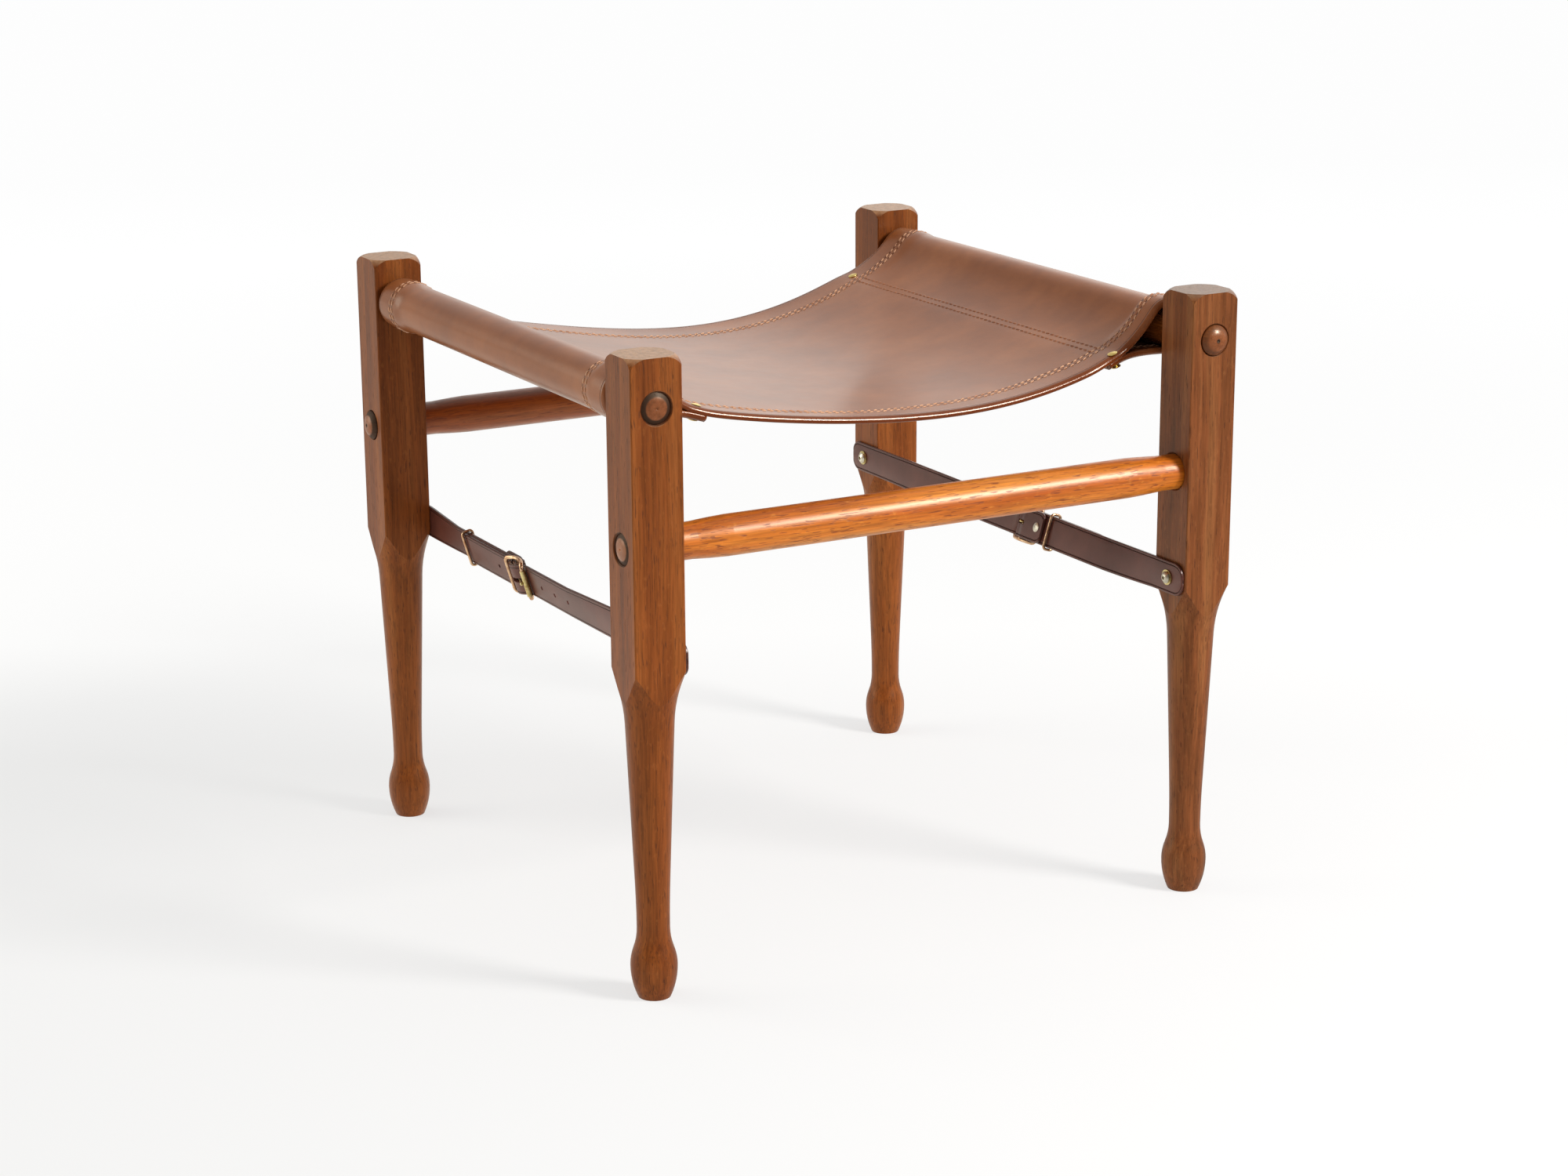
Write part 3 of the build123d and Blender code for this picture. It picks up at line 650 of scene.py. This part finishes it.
def makeSling(sheet):
    # the inner face lies one thickness further in, and rims join the two
    thick = sling["leather"] + (sling["skivedLeather"] - sling["leather"]) * sheet["thin"]
    innerFace = sheet["place"] - sheet["face"] * thick[:, None, None]
    rows, columns = sheet["x"].shape
    count = rows * columns
    points = np.concatenate([sheet["place"].reshape(-1, 3), innerFace.reshape(-1, 3)]) * mm
    grid = gridFaces(rows, columns)
    index = np.arange(count).reshape(rows, columns)
    rims = [np.stack([line[:-1], line[1:], line[1:] + count, line[:-1] + count], axis=-1)
            for line in (index[0, :], index[-1, ::-1], index[::-1, 0], index[:, -1])]
    faces = np.concatenate([grid[:, ::-1], grid + count] + rims)
    piece = makeMesh("seatLeather", points, faces[:, ::-1], seatLeather)
    across, flow = sheet["across"], lengthAlong(np.stack([sheet["y"], sheet["depth"]], axis=-1))
    size = (float(np.mean(across[:, -1] - across[:, 0])) * mm, float(flow[-1]) * mm)
    flow = np.broadcast_to(flow[:, None], across.shape)
    flat = np.stack([across, flow], axis=-1).reshape(-1, 2) * mm
    addMap(piece.data, "flatCut", np.concatenate([flat, flat]))
    markSling(piece.data, sheet, count)
    return piece, size


def markSling(mesh, sheet, count):
    # burnished along the rolled edges, less on the sleeves, and at the flaps' ends; the
    # offsets tell the grooves' material how far each point lies from its rows
    onSeat = 1 - 0.75 * within(np.abs(sheet["x"]), (170, 200))
    fromEdge = sheet["fromEdge"][:, None]
    burn = np.exp(-(np.minimum(fromEdge, 30) / sling["burnWidth"]) ** 2) * onSeat * 0.9
    burn = np.maximum(burn, np.sin(sheet["turned"])[:, None] * onSeat)
    burn[:, [0, -1]] = 1.0
    addShare(mesh, "burnish", np.concatenate([burn.ravel(), burn.ravel()]))
    offset, onMain, nowhere = sheet["offset"], sheet["onMain"], sling["nowhere"]
    sewn = (offset > 3.5) & (onMain > 0) & (sheet["z"] < sling["seamZ"] + 8)
    seam = np.where(sewn, np.abs(sheet["x"]) - sling["seamRows"], nowhere)
    edge = fromEdge * onMain + nowhere * (1 - onMain)
    for name, values in (("hemOffset", offset), ("seamOffset", seam), ("edgeOffset", edge)):
        addShare(mesh, name, np.concatenate([values.ravel(), np.full(count, nowhere)]))
    addShare(mesh, "flesh", np.concatenate([np.zeros(count), np.ones(count)]))


slingLines = slingSheet()
seatPiece, slingFlat = makeSling(slingLines)
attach(seatPiece, "frame")
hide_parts("seat_sling")
print("sling made, flat size", [round(v, 4) for v in slingFlat])


# Stitches: short rounded threads that dip into the leather at both ends
stitch = {
    "pitch": 5.6, "length": 4.4, "width": 1.2, "height": 0.9, "lean": 14.0, "sunk": 0.05,
    "widths": (0.55, 0.95, 1.0, 0.95, 0.55),
}


def stitchTemplate():
    # a half ellipse section carried along a low arch: 5 stations of 5 points
    along = np.linspace(-0.5, 0.5, 5)
    arch = np.sqrt(np.clip(1 - (2 * along) ** 2 * 0.92, 0, 1))
    angle = np.linspace(0, math.pi, 5)
    width = np.array(stitch["widths"]) * stitch["width"] / 2
    s = (along * stitch["length"])[:, None] + 0 * angle
    t = width[:, None] * np.cos(angle)
    h = stitch["height"] * (arch[:, None] * 0.75 * np.sin(angle) + (arch[:, None] - 0.75) * 0.6)
    return np.stack([s, t, h], axis=-1).reshape(-1, 3), gridFaces(5, 5)


def layStitches(rows, name, finish):
    # Rows hold polylines of place and face, and a stitch lies at each pitch along them: its
    # place, plus the template's length, width and height along the turned way, aside and up.
    template, faces = stitchTemplate()
    allPoints, allFaces, total = [], [], 0
    lean = math.radians(stitch["lean"])
    for place, face in rows:
        gone = lengthAlong(place)
        count = int(gone[-1] / stitch["pitch"])
        at = (np.arange(count) + 0.5) * gone[-1] / count
        ahead = pointsAt(at + 1, gone, place) - pointsAt(at - 1, gone, place)
        up = unit(pointsAt(at, gone, face))
        ahead = unit(ahead - up * (ahead * up).sum(-1, keepdims=True))
        aside = np.cross(up, ahead)
        forward = ahead * math.cos(lean) + aside * math.sin(lean)
        aside = np.cross(up, forward)
        spot = pointsAt(at, gone, place) - up * stitch["sunk"]
        made = (spot[:, None, :] + forward[:, None, :] * template[None, :, :1]
                + aside[:, None, :] * template[None, :, 1:2]
                + up[:, None, :] * template[None, :, 2:])
        allPoints.append(made.reshape(-1, 3))
        allFaces.append((faces[None] + (np.arange(count) * len(template))[:, None, None]
                         ).reshape(-1, 4) + total)
        total += count * len(template)
    points = np.concatenate(allPoints) * mm
    return makeMesh(name, points, np.concatenate(allFaces), finish)


def sheetLine(want, samples):
    # place and face where the sheet passes the wanted value, for each sample: its values, and
    # the index of the sheet's points that have them
    return [np.array([pointsAt(want, values, slingLines[kind][index])
                      for values, index in samples]) for kind in ("place", "face")]


def hemRows():
    # each row is found column by column where the sheet passes the wanted offset
    turned, y, offset = (slingLines[kind] for kind in ("turned", "y", "offset"))
    rows = []
    for side in (-1, 1):
        for chosen in (turned == 0, turned > 3.1):
            order = np.flatnonzero(chosen & (y * side > 100))
            order = order[np.argsort(-y[order] * side)]
            for want in (-sling["rowHalf"], sling["rowHalf"]):
                samples = [(offset[order, column], (order, column))
                           for column in range(offset.shape[1])
                           if offset[order[-1], column] >= want]
                if len(samples) > 50:
                    rows.append(sheetLine(want, samples))
    return rows


def seamRows():
    # each row is found row by row of the sheet, at its distance from the stool's middle
    turned, x, offset = (slingLines[kind] for kind in ("turned", "x", "offset"))
    reach = sectionCounts["seat"] + sectionCounts["lap"] + 8
    rows = []
    for side in (-1, 1):
        columns = x.shape[1] // 2 + side * np.arange(reach)
        samples = [(np.abs(x[row, columns]), (row, columns))
                   for row in np.flatnonzero(turned == 0) if offset[row, columns[-1]] >= 4.5]
        for half in (-sling["seamHalf"], sling["seamHalf"]):
            rows.append(sheetLine(sling["seamRows"] + half, samples))
    return rows


hemThread = layStitches(hemRows(), "hemStitches", thread)
seamThread = layStitches(seamRows(), "seamStitches", darkThread)
for piece in (hemThread, seamThread):
    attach(piece, "frame")
print("stitches laid:", (len(hemThread.data.polygons) + len(seamThread.data.polygons)) // 16)


# Straps, in the strap's own frame: u runs along it from the buckle's roller bar to the
# tail, v points out of the stool, and each set leans outwards at the top
strap = {
    "width": 24.0, "thick": 2.5, "height": 242.0, "planeX": 199.75, "innerFace": 201.0,
    "lean": 17.0, "bow": 1.8, "sag": 2.0, "offset": 10.0, "endLength": 36.5, "endRadius": 9.0,
    "crease": 2.0, "flat": 70.0, "tail": 121.0, "point": 9.0,
    "turnback": 46.0, "twistSpare": 9.0, "holeRadius": 1.6,
    "holes": (-66.9, -44.6, -22.3, 29.3, 51.6), "screwAt": 220.0, "screwHole": 4.6,
    "edgeSpots": (0.0, 0.2, 0.7, 1.45, 1.8, 2.0, 2.2, 2.55),
    "edgeRises": (-0.55, -0.18, 0, 0, -0.12, -0.22, -0.12, 0), "middleRise": 0.04,
}
buckle = {
    "barRadius": 1.5, "barPitch": 14.0, "crown": 4.5, "gap": 0.3, "roller": 2.25,
    "layerGap": 0.4, "shift": 1.4, "ease": 9.0, "slotWidth": 3.4, "slotLead": 8.6,
    "foldSlot": 12.0,
}
halfThick = strap["thick"] / 2
overBar = buckle["barRadius"] + buckle["gap"] + halfThick
tailLayer = buckle["crown"] - overBar
mainLayer = tailLayer - strap["thick"] - buckle["layerGap"]
turnLayer = mainLayer - strap["thick"] - buckle["layerGap"]
atRoller = buckle["crown"] - buckle["roller"] - buckle["gap"] - halfThick
billetTop = overBar + strap["thick"] + buckle["layerGap"]
# distances of a strap's rows from its end at a leg, from the pointed tail's end and from the
# lapped end behind the buckle
endSteps = np.array([0, 0.25, 0.7, 1.4, 2.4, 3.6, 5, 6.8, 9, 13, 19, 27])
tailSteps = np.array([0, 0.25, 0.7, 1.8, 3.2, 5, 7])
lapSteps = np.array([0, 0.25, 0.7, 1.6, 3.5, 6, 9, 12, 15, 18, 21])


def rampWave(u, fromU, toU, fromV, toV):  # two parabolas that leave and arrive level
    t = np.clip((u - fromU) / (toU - fromU), 0, 1)
    s = np.where(t < 0.5, 2 * t * t, 1 - 2 * (1 - t) ** 2)
    return fromV + (toV - fromV) * s


def toWorld(u, v, rest):
    # rest is 1 where the strap leans with the buckle and 0 where it lies flat on a leg
    lean = np.radians(strap["lean"] * rest)
    out = v * rest
    return np.stack([-strap["planeX"] - strap["bow"] * rest - out * np.cos(lean),
                     strap["offset"] + u,
                     strap["height"] - strap["sag"] * rest - out * np.sin(lean)], axis=-1)


def strapRing(halfWidth):
    # closed section: flat faces with a pressed line near each edge, and rounded edges
    spots, rises = np.array(strap["edgeSpots"]), np.array(strap["edgeRises"])
    side = -halfWidth[:, None] + spots[None, :]
    half = np.concatenate([side, 0 * halfWidth[:, None], -side[:, ::-1]], axis=1)
    rises = np.concatenate([rises, [strap["middleRise"]], rises[::-1]])
    level = halfThick + rises[None, :] + 0 * half
    across = np.concatenate([half, half[:, ::-1]], axis=1)
    high = np.concatenate([level, -level[:, ::-1]], axis=1)
    fromEdge = np.concatenate([spots, [9.0], spots[::-1]])
    return across, high, np.concatenate([fromEdge, fromEdge])


def makeStrap(name, places, normals, widths, halfWidth, thickShare, side):
    # the section is carried along the path: place + across * width way + height * normal
    across, high, fromEdge = strapRing(halfWidth)
    high = high * thickShare[:, None]
    points = (places[:, None, :] + across[..., None] * widths[:, None, :]
              + high[..., None] * normals[:, None, :])
    if side == "right":
        points = points * np.array([-1.0, -1.0, 1.0])
    rows, columns = across.shape
    faces = gridFaces(rows, columns, wrap=True).tolist()
    faces.append(list(range(columns))[::-1])
    faces.append([(rows - 1) * columns + k for k in range(columns)])
    piece = makeMesh(f"{name}_{side}", points.reshape(-1, 3) * mm, faces, strapLeather)
    gone = np.broadcast_to(lengthAlong(places)[:, None], across.shape)
    flat = np.stack([gone, across], axis=-1)
    addMap(piece.data, "flatCut", flat.reshape(-1, 2) * mm)
    burn = np.broadcast_to(np.exp(-(fromEdge / 0.5) ** 2), across.shape)
    addShare(piece.data, "burnish", burn.ravel() * 0.8)
    # the pressed line near each edge is marked by crease, which paints shade along it
    pressed = np.broadcast_to(np.exp(-((fromEdge - strap["crease"]) / 0.3) ** 2), across.shape)
    addShare(piece.data, "crease", pressed.ravel())
    addShare(piece.data, "flesh", np.zeros(across.size))
    return piece


def strapPath(u, v, rest):  # places, the way through the strap and the way across it
    places = toWorld(u, v, rest)
    lean = np.radians(strap["lean"] * rest)
    widths = np.stack([-np.sin(lean), 0 * lean, np.cos(lean)], axis=-1)
    along = unit(np.gradient(places, axis=0))
    normals = unit(np.cross(widths, along))
    return places, normals, widths


def endShape(distance):  # half width near a leg's end, whose outer corners are rounded
    r = strap["endRadius"]
    d = np.clip(r - distance, 0, r)
    return strap["width"] / 2 - r + np.sqrt(np.clip(r * r - d * d, 0, None))


def softEnd(distance):  # thickness share that rounds the very end
    return np.interp(distance, [0, 0.25, 0.7], [0.62, 0.9, 1.0])


def billetPath():
    pitch = buckle["barPitch"]
    start = -strap["innerFace"] - strap["endLength"] - strap["offset"]
    legU = -strap["innerFace"] - strap["offset"]
    u = np.concatenate([start + endSteps, np.linspace(legU, -strap["flat"], 44),
                        np.linspace(-strap["flat"] + 2.5, -2, 26),
                        np.linspace(0, 2 * pitch, 36),
                        np.linspace(2 * pitch + 2, strap["tail"] - strap["point"], 34),
                        strap["tail"] - tailSteps[::-1]])
    peak = pitch + buckle["shift"]
    v = rampWave(u, 0, peak, atRoller, billetTop)
    v = np.where(u > peak, rampWave(u, peak, 2 * pitch, billetTop, tailLayer), v)
    rest = np.clip((u - legU) / (-strap["flat"] - legU), 0, 1)
    halfWidth = np.minimum(endShape(u - start), tailShape(strap["tail"] - u))
    thickShare = softEnd(np.minimum(u - start, strap["tail"] - u))
    return (*strapPath(u, v, rest), halfWidth, thickShare)


def tailShape(distance):  # half width towards the pointed tail
    return np.interp(distance, [0, 0.7, 3, strap["point"], strap["point"] + 3],
                     [3.6, 5.0, 8.2, 11.8, strap["width"] / 2])


def bucklePath():
    pitch = buckle["barPitch"]
    lapStart = pitch + buckle["ease"]
    back = np.concatenate([strap["turnback"] - lapSteps, np.linspace(lapStart + 1, pitch, 9)])
    backV = rampWave(-back, -lapStart, -pitch, turnLayer, -overBar)
    angle = np.linspace(-90, -270, 22)[1:-1] * math.pi / 180
    foldU, foldV = pitch + overBar * np.cos(angle), overBar * np.sin(angle)
    settled = 2 * pitch - buckle["shift"]
    legU = strap["innerFace"] - strap["offset"]
    twistU = strap["tail"] + strap["twistSpare"]
    end = legU + strap["endLength"]
    ahead = np.concatenate([np.linspace(pitch, settled, 16),
                            np.linspace(settled + 2.5, twistU, 36),
                            np.linspace(twistU + 2, legU, 26), end - endSteps[::-1]])
    aheadV = rampWave(ahead, pitch, settled, overBar, mainLayer)
    u = np.concatenate([back, foldU, ahead])
    v = np.concatenate([backV, foldV, aheadV])
    rest = np.clip((legU - u) / (legU - twistU), 0, 1)
    rest = np.where(u < twistU, 1.0, rest)
    gone = lengthAlong(np.stack([u, v], axis=-1))
    halfWidth = np.minimum(endShape(gone[-1] - gone), tailShape(gone + 2) + 2)
    halfWidth = np.minimum(halfWidth, strap["width"] / 2)
    return (*strapPath(u, v, rest), halfWidth, softEnd(np.minimum(gone, gone[-1] - gone)))


def punch(piece, cutters):
    # cuts closed shapes out of a strap; each cutter is (place, way through, way along, sizes)
    points, faces, total = [], [], 0
    for place, through, along, (long, wide, deep) in cutters:
        aside = np.cross(through, along)
        angle = np.linspace(0, 2 * math.pi, 25)[:-1]
        run = max(long - wide, 0) / 2
        s = np.cos(angle) * wide / 2 + np.sign(np.cos(angle) + 1e-9) * run
        t = np.sin(angle) * wide / 2
        ring = place + s[:, None] * along + t[:, None] * aside
        points += [ring - through * deep, ring + through * deep]
        n = len(angle)
        k = np.arange(n)
        faces += (np.stack([k, (k + 1) % n, (k + 1) % n + n, k + n], axis=-1) + total).tolist()
        faces += [(k[::-1] + total).tolist(), (k + n + total).tolist()]
        total += 2 * n
    cutter = makeMesh("cutter", np.concatenate(points) * mm, faces, strapLeather)
    # the cut walls take these values, so crease paints shade inside the holes
    for name, value in (("burnish", 0.0), ("crease", 1.0), ("flesh", 0.0)):
        addShare(cutter.data, name, np.full(total, value))
    cut = piece.modifiers.new("holes", "BOOLEAN")
    cut.operation, cut.solver, cut.object = "DIFFERENCE", "EXACT", cutter
    graph = bpy.context.evaluated_depsgraph_get()
    made = bpy.data.meshes.new_from_object(piece.evaluated_get(graph))
    piece.modifiers.remove(cut)
    made.set_sharp_from_angle(angle=math.radians(50))
    piece.data = made
    bpy.data.objects.remove(cutter)


def strapCutters(kind, side):
    # sizes are length, width and how far the cutter reaches to either side of its place
    turn = np.array([-1.0, -1.0, 1.0]) if side == "right" else np.ones(3)
    lean = math.radians(strap["lean"])
    along = np.array([0, 1.0, 0]) * turn
    through = np.array([-math.cos(lean), 0, -math.sin(lean)]) * turn
    pitch = buckle["barPitch"]
    found = []

    def at(u, v):
        return toWorld(np.array([u]), np.array([v]), np.array([1.0]))[0] * turn

    if kind == "billet":
        for u in strap["holes"]:
            v = atRoller if u < 0 else tailLayer
            wide = 2 * strap["holeRadius"]
            found.append((at(u, v), through, along, (wide, wide, 3.0)))
        middle = pitch - buckle["slotLead"] / 2 + pitch / 8
        found.append((at(middle, billetTop), through, along,
                      (buckle["slotLead"] + pitch / 4, buckle["slotWidth"], 9.0)))
    else:
        start = pitch - overBar - halfThick
        found.append((at(start + buckle["foldSlot"] / 2, 0), through, along,
                      (buckle["foldSlot"], buckle["slotWidth"], 8.0)))
    legEnd = -1 if kind == "billet" else 1
    screw = np.array([-strap["planeX"], legEnd * strap["screwAt"], strap["height"]]) * turn
    found.append((screw, np.array([1.0, 0, 0]), np.array([0, 1.0, 0]),
                  (strap["screwHole"], strap["screwHole"], 4.0)))
    return found


for side in ("left", "right"):
    for kind, path in (("billet", billetPath()), ("buckle", bucklePath())):
        piece = makeStrap(f"{kind}StrapLeather", *path, side)
        punch(piece, strapCutters(kind, side))
        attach(piece, "frame")
        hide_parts(f"{kind}_strap_{side}")
        print(piece.name, len(piece.data.polygons), "faces")


# Floor, light and camera
studio = {
    "floorTone": 0.90, "near": 0.932, "left": 0.885, "right": 0.965, "behind": 1.02,
    "far": 0.985, "keep": 0.30, "ambient": 0.50, "floorReach": 30.0,
    "mirrorFloor": ((0.27, 0.15), (0.45, 0.60), (0.62, 1.1), (0.80, 0.72)),
    "mirrorTint": (1.0, 0.97, 0.88),
    "mirrorLow": 0.12, "mirrorHigh": 1.4, "mirrorWalls": ((0.52, 0.0), (0.92, 0.51), (0.965, 1.0)),
    "ahead": (0.442, 0.897, 0.0), "aside": (0.897, -0.442, 0.0),
    "floorBright": (-0.35, 0.94, 0.0), "wallBright": (0.78, 0.58, 0.24),
}


def seenShare(tree):
    ray = add(tree, "LightPath").outputs
    seen = maths(tree, "MAXIMUM", ray["Is Camera Ray"], ray["Is Transmission Ray"])
    return seen, ray["Is Glossy Ray"]


def makeFloor():
    # Paper that the camera sees nearly white, with part of its real shading kept near the stool
    # so that shadows show, and a painted shadow that darkens it to the left; glossy rays meet a
    # darker paper that glows as a painted reflection.
    material, tree = newMaterial("paperSweep")
    seen, glossy = seenShare(tree)
    place = objectPlace(tree)
    away = add(tree, "VectorMath", {0: place}, operation="LENGTH").outputs["Value"]
    distant = ramp(tree, maths(tree, "MULTIPLY", away, 0.25), [(0.15, 0.0), (0.70, 1.0)])
    ahead = maths(tree, "MULTIPLY", dotWith(tree, place, studio["ahead"]), 0.25)
    aside = plus(tree, 0.5, dotWith(tree, place, studio["aside"]), 0.5)
    # painted shadow and light: near the stool the paper is darker to the left, where the seat's
    # shadow falls, and lighter to the right
    near = ramp(tree, aside, [
        (0.20, studio["left"]), (0.50, studio["near"]), (0.80, studio["right"])])
    beyond = ramp(tree, ahead, [(0.50, studio["behind"]), (0.90, studio["far"])])
    floorLightAndShade = blendColour(tree, ramp(tree, ahead, [(0.06, 0.0), (0.15, 1.0)]), near, beyond)
    share = maths(tree, "MULTIPLY", plus(tree, 1 - studio["keep"], distant, studio["keep"]), seen)
    matt = add(tree, "BsdfDiffuse", {"Color": (studio["floorTone"],) * 3 + (1,)})
    glow = add(tree, "Emission", {"Color": floorLightAndShade})
    # painted reflection: glossy rays see the paper glow, brightest a little way behind and left of
    # the stool
    toward = plus(tree, 0.5, dotWith(tree, place, studio["floorBright"]), 0.25)
    paintedReflection = add(tree, "Emission", {"Color": ramp(tree, toward, [
        (at, (*(level * part for part in studio["mirrorTint"]), 1.0))
        for at, level in studio["mirrorFloor"]])})
    white = add(tree, "MixShader", {0: share, 1: matt.outputs[0], 2: glow.outputs[0]})
    mix = add(tree, "MixShader", {0: glossy, 1: white.outputs[0], 2: paintedReflection.outputs[0]})
    add(tree, "OutputMaterial", {"Surface": mix.outputs[0]})
    far = studio["floorReach"]
    points = np.array([[-far, -far, 0], [far, -far, 0], [far, far, 0], [-far, far, 0]])
    floor = makeMesh("paperFloor", points, np.array([[0, 1, 2, 3]]), material, smooth=False)


def makeWorld():
    # White to the camera; glossy rays meet walls that brighten towards the right and back.
    world = bpy.data.worlds.new("studio")
    bpy.context.scene.world = world
    world.use_nodes = True
    tree = world.node_tree
    tree.nodes.clear()
    seen, glossy = seenShare(tree)
    toward = dotWith(tree, add(tree, "TexCoord").outputs["Generated"], studio["wallBright"])
    walls = ramp(tree, plus(tree, 0.5, toward, 0.5), studio["mirrorWalls"])
    walls = plus(tree, studio["mirrorLow"], walls, studio["mirrorHigh"] - studio["mirrorLow"])
    plain, mirror, white = (
        add(tree, "Background", {"Strength": strength, "Color": colour}).outputs[0]
        for strength, colour in ((studio["ambient"], (1, 1, 1, 1)), (walls, (1, 0.99, 0.96, 1)),
                                 (1.0, (1, 1, 1, 1))))
    mix = add(tree, "MixShader", {0: glossy, 1: plain, 2: mirror})
    mix = add(tree, "MixShader", {0: seen, 1: mix.outputs[0], 2: white})
    add(tree, "OutputWorld", {"Surface": mix.outputs[0]})


lamps = {
    "window": {"place": (1.50, -2.10, 1.80), "size": 0.9, "power": 90.0,
               "colour": (1.0, 0.98, 0.95)},
    "fill": {"place": (-2.2, 1.5, 1.2), "size": 2.2, "power": 34.0,
             "colour": (1.0, 0.99, 0.88)},
}


def makeLamp(name, place, size, power, colour):
    lamp = bpy.data.lights.new(name, "AREA")
    lamp.shape, lamp.size, lamp.energy, lamp.color = "DISK", size, power, colour
    holder = bpy.data.objects.new(name, lamp)
    bpy.context.scene.collection.objects.link(holder)
    holder.location = place
    toStool = Vector((0, 0, 0.2)) - Vector(place)
    holder.rotation_euler = toStool.to_track_quat("-Z", "Y").to_euler()


camera = {  # metres, degrees and millimetres of focal length
    "place": (-1.1680, -2.1582, 0.8827), "azimuth": 26.244, "down": 16.814, "roll": -1.002,
    "lens": 77.146, "shift": (0.0798, 0.0555),
}


def makeCamera():
    azimuth, down, roll = (math.radians(camera[k]) for k in ("azimuth", "down", "roll"))
    ahead = Vector((math.sin(azimuth) * math.cos(down), math.cos(azimuth) * math.cos(down),
                    -math.sin(down)))
    right = Vector((math.cos(azimuth), -math.sin(azimuth), 0))
    up = right.cross(ahead)
    rightTurned = right * math.cos(roll) + up * math.sin(roll)
    upTurned = up * math.cos(roll) - right * math.sin(roll)
    data = bpy.data.cameras.new("camera")
    data.lens, data.sensor_width, data.sensor_fit = camera["lens"], 36.0, "HORIZONTAL"
    data.shift_x, data.shift_y = camera["shift"]
    data.clip_start, data.clip_end = 0.05, 100
    holder = bpy.data.objects.new("camera", data)
    bpy.context.scene.collection.objects.link(holder)
    turn = Matrix((rightTurned, upTurned, -ahead)).transposed()
    holder.matrix_world = Matrix.Translation(camera["place"]) @ turn.to_4x4()
    bpy.context.scene.camera = holder


makeFloor()
makeWorld()
for name, lamp in lamps.items():
    makeLamp(name, **lamp)
makeCamera()
bpy.context.scene.view_settings.view_transform = "Standard"
print("stage set")
